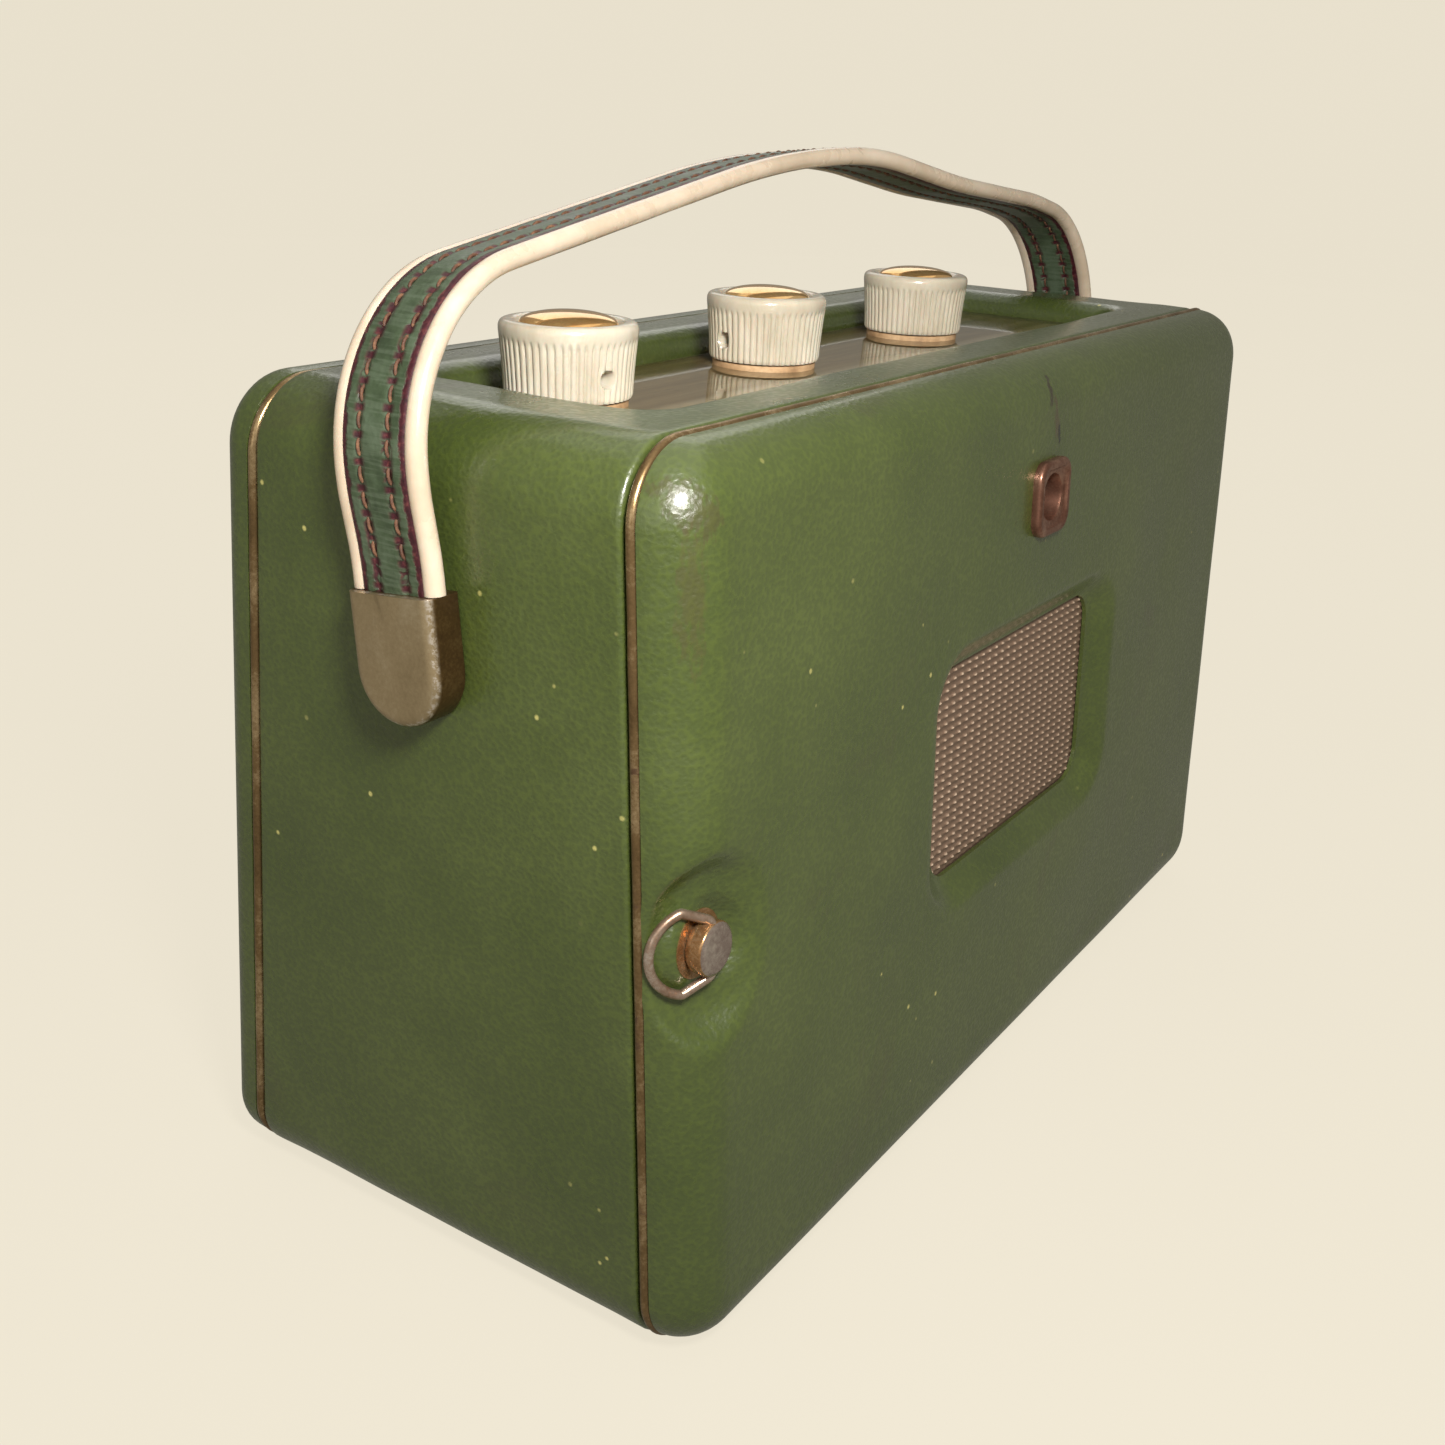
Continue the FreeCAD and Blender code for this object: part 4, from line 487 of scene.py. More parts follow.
def plywood():
    """Bare plywood: long streaks of grain with a trace of its plies."""
    n = Nodes("bare_plywood")
    plies = n.new("ShaderNodeTexWave", wave_type="BANDS", bands_direction="X")
    n.feed(plies, Vector=n.stretched((1.0, 0.25, 1.0)), Scale=210.0, Distortion=1.5, Detail=2.0)
    streaks = n.noise(40.0, 5.0, 0.65, n.stretched((1.0, 14.0, 9.0)))
    tone = n.weigh((streaks, 0.8), (plies.outputs["Fac"], 0.2))
    colour = n.ramp(tone, (0.3, (124, 88, 52)), (0.55, (168, 126, 80)), (0.75, (190, 150, 100)))
    return n.shader(
        Base_Color=colour, Roughness=n.spread(streaks, 0.3, 0.7, 0.5, 0.72),
        Normal=n.bump(streaks, 0.12, 0.6))


def aged_metal(name, dark, middle, light, scale, rough, tarnish, tarnish_colour, grain=1500.0,
               stretch=(1, 1, 1), depth=0.02):
    """Worn metal: bright rubbed areas between patches of tarnish, with fine scratches."""
    n = Nodes(name)
    where = n.stretched(stretch)
    broad = n.noise(scale, 6.0, 0.65, warp=0.4)
    fine = n.noise(grain, 3.0, 0.65, where)
    both = n.weigh((broad, 0.7), (fine, 0.3))
    colour = n.ramp(both, (0.35, dark), (0.5, middle), (0.65, light))
    patches = n.spread(n.noise(scale * 2.2, 6.0, 0.7, warp=0.6), 1.0 - tarnish, 1.12 - tarnish)
    colour = n.mix(patches, colour, tarnish_colour)
    metal = n.spread(patches, 0.0, 1.0, 0.8, 0.35)
    shine = n.maths("ADD", n.spread(both, 0.35, 0.65, rough[1], rough[0]), n.maths("MULTIPLY", patches, 0.2))
    return n.shader(Base_Color=colour, Metallic=metal, Roughness=shine, Normal=n.bump(both, depth))


def cap_metal():
    """Cast brass worn to a greyish face, a painted highlight as a speckled bright line along its edge, and
    painted shade that darkens its side to brown.
    """
    n = Nodes("cast_cap_brass")
    broad = n.noise(55.0, 6.0, 0.65, warp=0.4)
    fine = n.noise(1500.0, 3.0, 0.65)
    both = n.weigh((broad, 0.7), (fine, 0.3))
    face = n.ramp(both, (0.35, (148, 130, 98)), (0.5, (166, 147, 114)), (0.65, (184, 167, 136)))
    # painted shade: the side gets a darker brown copy of the face's colours
    side = n.ramp(both, (0.35, (64, 46, 28)), (0.5, (90, 68, 40)), (0.65, (120, 96, 62)))
    level = n.maths("ABSOLUTE", n.split()[0])
    colour = n.mix(n.spread(level, 0.1464, 0.1478), side, face)
    # painted highlight: a speckled near-white line along the rounded edge between the face and the side
    edge_highlight = n.maths("MULTIPLY", n.spread(level, 0.1466, 0.1474), n.spread(level, 0.1482, 0.1477))
    speckled = n.maths("MULTIPLY", edge_highlight, n.spread(n.noise(700.0, 4.0, 0.7), 0.45, 0.6))
    colour = n.mix(n.maths("MULTIPLY", speckled, 0.8), colour, (214, 204, 190))
    grime = n.spread(n.noise(90.0, 6.0, 0.65, warp=0.6), 0.56, 0.78, 0.0, 0.55)
    colour = n.mix(grime, colour, (74, 56, 40))
    return n.shader(
        Base_Color=colour, Metallic=n.spread(grime, 0.0, 0.8, 0.8, 0.35),
        Roughness=n.spread(both, 0.35, 0.65, 0.42, 0.3), Normal=n.bump(both, 0.04))


def ivory():
    """Cast ivory plastic: marbled but nearly even, a little dirty, with a trace of subsurface glow."""
    n = Nodes("ivory_plastic")
    broad = n.noise(45.0, 3.0)
    marbled = n.noise(150.0, 5.0, 0.7, n.stretched((1.0, 1.0, 0.3)), 1.2)
    tone = n.weigh((broad, 0.5), (marbled, 0.5))
    colour = n.ramp(tone, (0.35, (178, 168, 148)), (0.5, (192, 183, 164)), (0.65, (204, 197, 181)))
    dirt = n.spread(n.noise(600.0, 3.0, 0.7), 0.66, 0.78, 0.0, 0.35)
    colour = n.mix(dirt, colour, (150, 122, 82))
    return n.shader(
        Base_Color=colour, Roughness=n.spread(marbled, 0.3, 0.7, 0.16, 0.27),
        Normal=n.bump(n.noise(500.0), 0.015), Subsurface_Weight=0.12, Subsurface_Scale=0.003,
        Coat_Weight=0.3, Coat_Roughness=0.08, IOR=1.5)


def strap_leather():
    """The handle's band: grey-green skin, cracked to oxblood round its stitches, with bare oxblood edges."""
    n = Nodes("strap_leather_green")
    local = n.new("ShaderNodeAttribute", attribute_name="strap_place").outputs["Vector"]
    along, across, _ = n.split(local)
    wobble = n.maths("MULTIPLY", n.maths("SUBTRACT", n.noise(260.0, 4.0, 0.7), 0.5), 2.4)
    off = n.maths("ABSOLUTE", n.maths("ADD", across, wobble))
    edge = n.spread(off, 5.7, 6.3)
    near_row = n.spread(
        n.maths("ABSOLUTE", n.maths("SUBTRACT", n.maths("ABSOLUTE", across), STITCH_ROW)), 1.7, 0.5)
    beat = n.maths(
        "ABSOLUTE", n.maths("SUBTRACT", n.maths("FRACT", n.maths("DIVIDE", along, STITCH_PITCH)), 0.5))
    gap = n.spread(n.maths("ADD", beat, n.maths("MULTIPLY", wobble, 0.10)), 0.28, 0.42)
    cracks = n.spread(n.cells(260.0, "DISTANCE_TO_EDGE", n.stretched((1.0, 1.0, 1.0))), 0.11, 0.03)
    rubbed = n.spread(n.noise(70.0, 5.0, 0.7), 0.42, 0.58)
    broken = n.maths(
        "MULTIPLY", near_row, n.maths("MAXIMUM", n.maths("MULTIPLY", cracks, rubbed), gap), clamp=True)
    tone = n.noise(120.0, 4.0, 0.6)
    fibre = n.noise(900.0, 3.0, 0.65)
    green = n.ramp(tone, (0.35, (44, 56, 38)), (0.5, (58, 72, 50)), (0.66, (74, 88, 68)))
    lines = n.spread(n.noise(300.0, 2.0, 0.5, n.stretched((0.35, 0.35, 6.0))), 0.45, 0.62, 0.0, 0.35)
    green = n.mix(lines, green, (90, 102, 84))
    oxblood = n.ramp(fibre, (0.3, (38, 12, 18)), (0.55, (62, 20, 28)), (0.72, (96, 48, 46)))
    bare = n.maths("MAXIMUM", edge, broken)
    colour = n.mix(bare, green, oxblood)
    height = n.maths("SUBTRACT", n.maths("MULTIPLY", n.cells(900.0), 0.35), n.maths("MULTIPLY", bare, 0.8))
    height = n.maths("ADD", height, n.maths("MULTIPLY", fibre, 0.3))
    return n.shader(
        Base_Color=colour, Roughness=n.spread(tone, 0.3, 0.7, 0.36, 0.55),
        Normal=n.bump(height, 0.22, 0.9), IOR=1.5)


def acrylic():
    """The clear window, with a little haze in patches."""
    n = Nodes("clear_acrylic")
    haze = n.spread(n.noise(90.0, 5.0, 0.7), 0.45, 0.75, 0.015, 0.07)
    return n.shader(
        Base_Color=(1.0, 0.985, 0.95, 1.0), Roughness=haze, IOR=1.49, Transmission_Weight=1.0,
        Normal=n.bump(n.noise(60.0, 2.0), 0.01, 0.4),
    )


def dial_print():
    """The printed dial: champagne gold with a paler band along it, and darker along its far edge and its two
    ends.
    """
    n = Nodes("dial_print")
    x, y, _ = n.split()
    flow = n.noise(240.0, 4.0, 0.6, n.stretched((0.06, 1.0, 1.0)))
    base = n.ramp(flow, (0.35, (142, 122, 84)), (0.5, (160, 140, 98)), (0.65, (178, 158, 116)))
    band = n.maths("SUBTRACT", n.spread(y, -0.020, -0.016), n.spread(y, -0.0125, -0.0085))
    base = n.mix(n.maths("MULTIPLY", band, 0.75), base, (206, 194, 162))
    # darker along the dial's far edge and both its ends, beside the well's walls
    rim = n.maths("MAXIMUM", n.spread(y, 0.0165, 0.0215), n.spread(n.maths("ABSOLUTE", x), 0.102, 0.108))
    base = n.mix(n.maths("MULTIPLY", rim, 0.8), base, (96, 72, 40))
    return n.shader(
        Base_Color=base, Metallic=n.spread(flow, 0.3, 0.7, 0.35, 0.6),
        Roughness=n.spread(flow, 0.3, 0.7, 0.34, 0.48), Normal=n.bump(n.noise(1200.0), 0.01))


def relief_cloth(name, hollow, middle, crown, rough, metallic=0.0):
    """Woven cloth whose colour follows the height of its own modelled threads: painted shade in the low
    places, and the raised knots paler, partly their thread's colour and partly painted highlight.
    """
    n = Nodes(name)
    raised = n.new("ShaderNodeAttribute", attribute_name="raised").outputs["Fac"]
    yarn = n.noise(2600.0, 3.0, 0.65)
    tone = n.weigh((raised, 0.8), (n.maths("SUBTRACT", yarn, 0.5), 0.35))
    # painted shade and highlight: darker down in the weave, paler up on the knots
    colour = n.ramp(tone, (0.05, hollow), (0.4, middle), (0.85, crown))
    faded = n.spread(n.noise(28.0, 5.0, 0.65), 0.4, 0.7, 0.0, 0.22)
    colour = n.mix(faded, colour, middle)
    return n.shader(
        Base_Color=colour, Metallic=metallic, Roughness=n.spread(yarn, 0.3, 0.7, rough[0], rough[1]),
        Normal=n.bump(yarn, 0.06, 0.8))


# --- finishes -----------------------------------------------------------------------------------------

STITCH_ROW = 3.3
STITCH_PITCH = 4.3

CLOTH = leathercloth("leathercloth_green")
DOOR_CLOTH = leathercloth("leathercloth_door", (
    (3.0, 160.0, 1.5, 6.5, 0.25, (60, 54, 32), 0.9), (0.2, 167.0, 1.0, 4.5, -0.35, (42, 38, 22), 1.0),
    (4.6, 157.0, 0.9, 2.8, 0.05, (14, 16, 8), 1.0), (-134.5, 165.0, 3.6, 5.0, 0.3, (62, 54, 34), 0.5),
    (-135.5, 150.0, 2.2, 12.0, 0.0, (70, 58, 38), 0.35),
))
WOOD = plywood()
SEAM = aged_metal(
    "seam_brass", (96, 76, 48), (128, 104, 70), (182, 158, 120), 70.0, (0.22, 0.4), 0.42, (70, 50, 32))
CAP_METAL = cap_metal()
COPPERED = aged_metal(
    "coppered_bezel", (96, 64, 50), (122, 86, 70), (160, 124, 104), 130.0, (0.32, 0.46), 0.35, (70, 44, 34))
GILT = aged_metal(
    "gilt_dome", (226, 172, 104), (240, 194, 130), (250, 212, 154), 80.0, (0.05, 0.1), 0.1, (130, 84, 52),
    depth=0.006)
WIRE = aged_metal(
    "worn_nickel_wire", (132, 104, 84), (168, 146, 128), (206, 194, 182), 150.0, (0.22, 0.38), 0.42,
    (150, 98, 66))
STUD = aged_metal(
    "worn_stud", (128, 110, 100), (152, 136, 126), (192, 180, 166), 160.0, (0.2, 0.34), 0.35,
    (134, 98, 62), depth=0.006)
STUD_SIDE = aged_metal(
    "worn_stud_side", (128, 92, 58), (162, 122, 82), (206, 176, 138), 160.0, (0.2, 0.34), 0.3,
    (104, 70, 46), depth=0.006)
IVORY = ivory()
CARD = plain_finish(
    "tan_card", (150, 118, 84), (180, 146, 108), (202, 170, 132), 240.0, rough=(0.6, 0.8), grain=1400.0,
    depth=0.08)
ACRYLIC = acrylic()
DIAL = dial_print()
INK = plain_finish("dial_ink", (46, 34, 22), (58, 42, 28), (74, 54, 36), 300.0, rough=(0.4, 0.6))
STRAP = strap_leather()
THREAD = plain_finish(
    "linen_thread", (66, 40, 28), (90, 58, 40), (126, 90, 64), 500.0, rough=(0.6, 0.85), grain=3000.0,
    depth=0.08)
PIPING = plain_finish(
    "cream_piping", (180, 162, 140), (194, 177, 156), (206, 191, 172), 40.0, rough=(0.2, 0.34),
    grain=260.0, depth=0.03, specks=(60.0, (150, 112, 84), 0.03), Coat_Weight=0.35, Coat_Roughness=0.12,
    Subsurface_Weight=0.08, Subsurface_Scale=0.002)
STEEL = aged_metal(
    "plated_steel", (128, 130, 128), (160, 162, 158), (188, 188, 182), 60.0, (0.3, 0.48), 0.3,
    (128, 112, 82))
SCREW = aged_metal(
    "screw_steel", (118, 112, 100), (150, 144, 130), (180, 174, 160), 300.0, (0.3, 0.5), 0.35, (92, 66, 46))
HINGE = aged_metal(
    "hinge_brass", (140, 104, 54), (176, 136, 78), (206, 170, 108), 120.0, (0.28, 0.45), 0.35, (92, 62, 36))
CONE = plain_finish(
    "cone_paper", (34, 32, 30), (48, 45, 41), (66, 61, 55), 200.0, rough=(0.75, 0.95), grain=1600.0,
    depth=0.12)
MAGNET = plain_finish(
    "magnet_alloy", (70, 72, 74), (92, 94, 96), (120, 120, 120), 120.0, metallic=0.8, rough=(0.4, 0.6),
    grain=1100.0, depth=0.06)
BOARD = plain_finish(
    "paper_laminate", (104, 66, 30), (132, 86, 42), (152, 104, 56), 60.0, rough=(0.35, 0.5), grain=1200.0,
    depth=0.03, stretch=(0.3, 1.0, 1.6))
ALUMINIUM = aged_metal(
    "bright_aluminium", (160, 162, 164), (186, 188, 188), (208, 208, 206), 90.0, (0.26, 0.42), 0.2,
    (150, 146, 136), stretch=(1, 1, 0.1))
IRON = plain_finish(
    "core_iron", (52, 48, 44), (74, 68, 62), (98, 90, 80), 160.0, metallic=0.7, rough=(0.45, 0.65),
    grain=2200.0, depth=0.08, stretch=(0.1, 1.0, 1.0))
LACQUER = plain_finish(
    "black_lacquer", (16, 16, 17), (24, 24, 26), (38, 38, 40), 200.0, rough=(0.2, 0.34), grain=700.0,
    depth=0.02, Coat_Weight=0.4, Coat_Roughness=0.1)
FERRITE = plain_finish(
    "ferrite", (38, 38, 40), (52, 52, 54), (70, 70, 72), 150.0, rough=(0.5, 0.7), grain=1800.0, depth=0.06)
COIL = plain_finish(
    "enamelled_wire", (110, 52, 24), (156, 80, 38), (190, 112, 60), 60.0, metallic=0.5, rough=(0.28, 0.42),
    grain=1500.0, depth=0.15, stretch=(1.6, 0.1, 0.1))
MOULDED = plain_finish(
    "moulded_black", (20, 19, 18), (29, 28, 26), (42, 40, 37), 130.0, rough=(0.32, 0.5), grain=900.0,
    depth=0.04)
FIBRE = plain_finish(
    "fibre_board", (112, 84, 56), (138, 106, 74), (160, 128, 92), 120.0, rough=(0.65, 0.85), grain=1300.0,
    depth=0.12)
JACKET = plain_finish(
    "battery_jacket", (116, 36, 26), (140, 46, 34), (158, 62, 46), 30.0, rough=(0.3, 0.46), grain=700.0,
    depth=0.03)
# each cloth's first colour is painted shade for the weave's low places; its last is the knots' paler thread
# with painted highlight
VENT_CLOTH = relief_cloth("vent_cloth", (96, 78, 64), (136, 112, 94), (222, 200, 176), (0.4, 0.6), 0.2)
GRILLE_CLOTH = relief_cloth("grille_cloth", (96, 82, 56), (156, 138, 100), (206, 192, 156), (0.5, 0.7), 0.1)


# --- case ---------------------------------------------------------------------------------------------

ACROSS, UP, BEND, DEEP = 200, 110, 14, 64
HINGE_X = HINGE_POINT[0]
HINGE_MIDDLES = (38.0, 136.0)
LEAF_REACH, LEAF_SINK, BARREL_ROOM = 11.3, 0.45, 2.2
CLIP_HALF, CLIP_SINK = 19.0, 1.22
RIM_ROUND = 1.0
WELL = (-110.8, 110.8, -27.3, 23.8)
WELL_CORNER = 6.0
WELL_ROUND = 5.4
STUD_X, STUD_UP = -130.0, 86.4


def hinge_rows(z, reach=15.3):
    """Whether points are level with one of the two hinges."""
    return np.any([np.abs(z - middle) < reach for middle in HINGE_MIDDLES], axis=0)


def clear_of_hinges(points, leaf_level, inward):
    """Lets the hinge leaves and barrels into a rim, in the rear frame. inward is +1 or -1 along Y."""
    x, y, z = points[..., 0], points[..., 1], points[..., 2]
    level = hinge_rows(z)
    leaf = level & (x > HINGE_X - LEAF_REACH) & (y * inward < leaf_level * inward)
    y = np.where(leaf, leaf_level, y)
    away = np.hypot(x - HINGE_X, y)
    grow = np.where(level & (away < BARREL_ROOM), BARREL_ROOM / np.maximum(away, 0.3), 1.0)
    return np.stack([HINGE_X + (x - HINGE_X) * grow, y * grow, z], axis=-1)


def rear_seam(height):
    """The rear seam's place along Y at a height."""
    return -REAR_BASE + REAR_SLOPE * height


def front_seam(height):
    """The front seam's place along Y at a height."""
    return FRONT_BASE - FRONT_SLOPE * height


def uneven(points, *waves):
    """The slight unevenness of a hand-covered board: each wave is (height, length, seed)."""
    return sum(height * ripple(points, length, seed) for height, length, seed in waves)


def case_waver(points):
    """The case's unevenness, which dies out at its two seams."""
    depth, height = points[..., 1], points[..., 2]
    seam = np.minimum(depth - rear_seam(height), front_seam(height) - depth)
    return uneven(points, (0.10, 34.0, 1), (0.16, 95.0, 2)) * smooth(1.0, 9.0, seam)


def case_sides(edge, normal):
    """Rings round the case, from its rear rim over the outside to the front rim and back along the inside.

    Also says at which rings the rear rim, the outside and the front rim end.
    """
    rows = []

    def add(offset, front_share, extra=0.0):
        """One ring: front_share is 0 at the rear seam and 1 at the front one, and extra goes in from each."""
        at = edge + normal * offset
        y = lerp(rear_seam(at[:, 1]) + extra, front_seam(at[:, 1]) - extra, front_share)
        rows.append(np.stack([at[:, 0], y, at[:, 1]], axis=-1))

    for offset in np.linspace(-WALL, -RIM_ROUND, 7):
        add(offset, 0.0)
    for out, back in quarter(RIM_ROUND, 4)[1:]:
        add(out - RIM_ROUND, 0.0, back)
    rear_edge = len(rows) - 1
    for step in range(1, DEEP + 1):
        add(0.0, step / DEEP, RIM_ROUND)
    front_edge = len(rows) - 1
    for out, back in reversed(quarter(RIM_ROUND, 4)[:-1]):
        add(out - RIM_ROUND, 1.0, back)
    for offset in np.linspace(-2.0, -WALL, 6):
        add(offset, 1.0)
    front_inner = len(rows) - 1
    for step in range(1, DEEP):
        add(-WALL, 1.0 - step / DEEP)
    rows = np.array(rows)
    lift = case_waver(rows)
    lift[front_edge + 1:] = 0.0
    outward = np.stack([normal[:, 0], np.zeros(len(normal)), normal[:, 1]], axis=-1)
    return rows + outward * lift[..., None], rear_edge, front_edge, front_inner


def open_rear_rim(rows, count):
    """Makes room in the first rings for the hinges and the catch's spring clip."""
    local = unleaned(rows[:count], REAR)
    opened = clear_of_hinges(local, LEAF_SINK, 1)
    x, y, z = (local[..., axis] for axis in range(3))
    seat = (x < -HALF + WALL + 0.2) & (x > -HALF + 2.4) & (np.abs(z - STUD_UP) < CLIP_HALF)
    opened[..., 1] = np.where(seat & (y < CLIP_SINK) & (y > -0.1), CLIP_SINK, opened[..., 1])
    rows[:count] = leaned(opened, REAR)


def case_top(shape):
    """The top, from its edges to the well, down the well's wall and back under the ceiling."""
    well, well_normal = outline(*WELL, WELL_CORNER, ACROSS, DEEP, BEND)
    reach = HALF - CORNER

    def flat_edge(height, extra):
        near, far = rear_seam(height) + extra, front_seam(height) - extra
        return flat_ring(outline(-reach, reach, near, far, 0.0, ACROSS, DEEP, BEND)[0], height)

    def well_ring(offset, height):
        return flat_ring(well + well_normal * offset, height)

    outer, mouth = flat_edge(TALL, RIM_ROUND), well_ring(WELL_ROUND, TALL)
    rings = [lerp(outer, mouth, t) for t in np.linspace(0.0, 1.0, 15)]
    rings += [well_ring(WELL_ROUND - out, TALL - back) for out, back in quarter(WELL_ROUND, 10)[1:]]
    rings += [well_ring(0.0, height) for height in np.linspace(TALL - WELL_ROUND, TALL - WALL, 3)[1:]]
    rings = np.array(rings)
    rings[..., 2] += case_waver(rings) * smooth(TALL - 5.0, TALL, rings[..., 2])
    shape.grid(rings, 0, close_columns=True)
    inner = flat_edge(TALL - WALL, 0.0)
    under = [lerp(well_ring(0.0, TALL - WALL), inner, t) for t in np.linspace(0.0, 1.0, 8)]
    shape.grid(under, 1, close_columns=True)


def make_case():
    """The covered case: one skin with a rounded well mouth, turned-in edges and bare plywood inside."""
    edge, normal = outline(-HALF, HALF, 0.0, TALL, CORNER, ACROSS, UP, BEND)
    rows, rear_edge, front_edge, front_inner = case_sides(edge, normal)
    open_rear_rim(rows, rear_edge + 5)
    top_start, count = ACROSS + UP + 2 * BEND, len(edge)
    around = [(top_start + ACROSS + step) % count for step in range(count - ACROSS + 1)]
    ceiling = list(range(top_start, top_start + ACROSS + 1))
    bare_start = front_edge + 6
    shape = Shape()
    shape.grid(rows[:bare_start + 1][:, around], 0)
    shape.grid(np.concatenate([rows[bare_start:], rows[:1]])[:, around], 1)
    shape.grid(rows[:rear_edge + 1][:, ceiling], 0)
    shape.grid(rows[front_edge:front_inner + 1][:, ceiling], 0)
    case_top(shape)
    return shape.build(
        "case_cover", "case", [CLOTH, WOOD], ["case_shell"], weld=0.02, sharp=50.0)


make_case()


# --- panels and beads ---------------------------------------------------------------------------------

DOOR_LOW = 0.6
DOOR_THICK = 13.2
DOOR_ROUND = 11.7
DOOR_GAP = 0.8
SKIN_BACK = -7.8
VENT_UP, VENT_WIDE, VENT_TALL = 87.4, 84.0, 49.5
VENT_FLARE = 9.0
VENT_MOUTH = -8.8
RAIL_EDGE = -6.0
SCOOP_TILT = math.radians(24.0)
SCOOP_RADIUS, SCOOP_SOFT, SCOOP_STEEP = 15.2, 1.5, 1.9
STUD_SEAT = -7.5
SOCKET_UP, SOCKET_ROOM = 143.6, 6.9
BEAD_DEEP = 2.4
SPEAKER_OPENING, SPEAKER_CORNER = (-116.0, 116.0, 28.0, 146.0), 9.0


def scoop_level(x, z):
    """The floor of the dished hollow round the catch, along the rear frame's Y."""
    floor = -7.7 - (x - STUD_X) * math.tan(SCOOP_TILT)
    away = np.hypot((x - STUD_X) / math.cos(SCOOP_TILT), z - STUD_UP)
    past = np.clip((away - SCOOP_RADIUS) / SCOOP_SOFT, -30, 30)
    wall = SCOOP_SOFT * SCOOP_STEEP * np.log1p(np.exp(past))
    seat = smooth(10.0, 6.6, np.hypot(x - STUD_X, z - STUD_UP))
    return lerp(floor - wall, STUD_SEAT, seat)


def door_skin(edge, normal):
    """Rings of the door's outside: the vent's mouth, its flare, the flat and the rolled edge."""
    vent, vent_normal = outline(
        -VENT_WIDE / 2, VENT_WIDE / 2, VENT_UP - VENT_TALL / 2, VENT_UP + VENT_TALL / 2, 8.0, ACROSS, UP,
        BEND)
    rings = [ring_at(vent, vent_normal, 0.0, level) for level in (SKIN_BACK, -8.3, VENT_MOUTH)]
    for t in np.linspace(0.0, 1.0, 15)[1:]:
        level = VENT_MOUTH - (DOOR_THICK + VENT_MOUTH) * lerp(t, float(smooth(0.0, 1.0, t)), 0.65)
        rings.append(ring_at(vent, vent_normal, VENT_FLARE * t, level, 0.75))
    flat_start, flat_end = rings[-1], ring_at(edge, normal, -DOOR_ROUND, -DOOR_THICK)
    rings += [lerp(flat_start, flat_end, t) for t in np.linspace(0.0, 1.0, 52)[1:]]
    for angle in np.radians(np.linspace(0.0, 83.0, 20)[1:]):
        level = DOOR_ROUND - DOOR_THICK - DOOR_ROUND * math.cos(angle)
        rings.append(ring_at(edge, normal, DOOR_ROUND * (math.sin(angle) - 1.0), level))
    skin = np.array(rings)
    x, y, z = (skin[..., axis] for axis in range(3))
    border = np.minimum.reduce([HALF - np.abs(x), z - DOOR_LOW, TALL - z])
    swell = uneven(skin, (0.12, 38.0, 3), (0.22, 110.0, 4))
    swell = swell * smooth(0.5, 12.0, border) * smooth(-8.9, -12.5, y)
    skin[..., 1] = soft_max(y + swell, scoop_level(x, z), 3.0)
    return skin


def door_back(edge, normal, mouth):
    """Rings of the door's hollow back, from its rim to the vent's mouth, clear of the catch's hollow."""
    rings = [ring_at(edge, normal, RAIL_EDGE, level) for level in np.linspace(-DOOR_GAP, SKIN_BACK, 5)]
    rings += [lerp(rings[-1], mouth, t) for t in np.linspace(0.0, 1.0, 24)[1:]]
    back = np.array(rings)
    pressed = np.maximum(back[1:-1, :, 1], scoop_level(back[1:-1, :, 0], back[1:-1, :, 2]) + 1.2)
    back[1:-1, :, 1] = np.minimum(pressed, -DOOR_GAP - 0.1)
    return back


def make_door():
    """The door: a pillowed skin with a dished vent and catch hollow, a turned-in rim and a hollow back."""
    edge, normal = outline(-HALF, HALF, DOOR_LOW, TALL, CORNER, ACROSS, UP, BEND)
    skin = door_skin(edge, normal)
    steps = [(-0.3, -2.86), (-BEAD_DEEP, -2.84), (-BEAD_DEEP, -DOOR_GAP)]
    steps += [(offset, -DOOR_GAP) for offset in (-3.2, -4.1, -5.0, RAIL_EDGE)]
    rim = np.array([ring_at(edge, normal, offset, level) for offset, level in steps])
    rim = clear_of_hinges(rim, -DOOR_GAP - 0.42, -1)
    back = door_back(edge, normal, skin[0])
    back[0] = rim[-1]
    shape = Shape()
    shape.grid(np.concatenate([skin, rim]), 0, close_columns=True)
    shape.grid(back, 1, close_columns=True)

    def under_bezel(centre):
        local = unleaned(np.array(centre)[None], REAR)[0]
        return math.hypot(local[0], local[2] - SOCKET_UP) < SOCKET_ROOM

    return shape.build(
        "door_cover", "door", [DOOR_CLOTH, FIBRE], ["door_panel"], weld=0.02,
        sharp=50.0, place=REAR, drop=under_bezel)


def block(shape, low, high, bevel):
    """A block between two corners, bevelled on its inner face and fitted to the scoop on its outer one."""
    (x0, y0, z0), (x1, y1, z1) = low, high
    edge, normal = outline(x0, x1, z0, z1, bevel * 1.2, 30, 40, 3)
    middle = np.array([(x0 + x1) / 2, y0, (z0 + z1) / 2])
    rim = ring_at(edge, normal, 0.0, y0)
    rings = [lerp(middle, rim, t) for t in np.linspace(0.02, 1.0, 14)]
    rings += [lerp(rim, ring_at(edge, normal, 0.0, y1 - bevel), t) for t in np.linspace(0.0, 1.0, 8)[1:]]
    rings += [ring_at(edge, normal, -0.3 * bevel, y1 - 0.25 * bevel), ring_at(edge, normal, -bevel, y1)]
    rings = np.array(rings)
    fitted = np.maximum(rings[..., 1], scoop_level(rings[..., 0], rings[..., 2]) + 0.6)
    rings[..., 1] = np.minimum(fitted, y1)
    shape.capped_tube(rings)


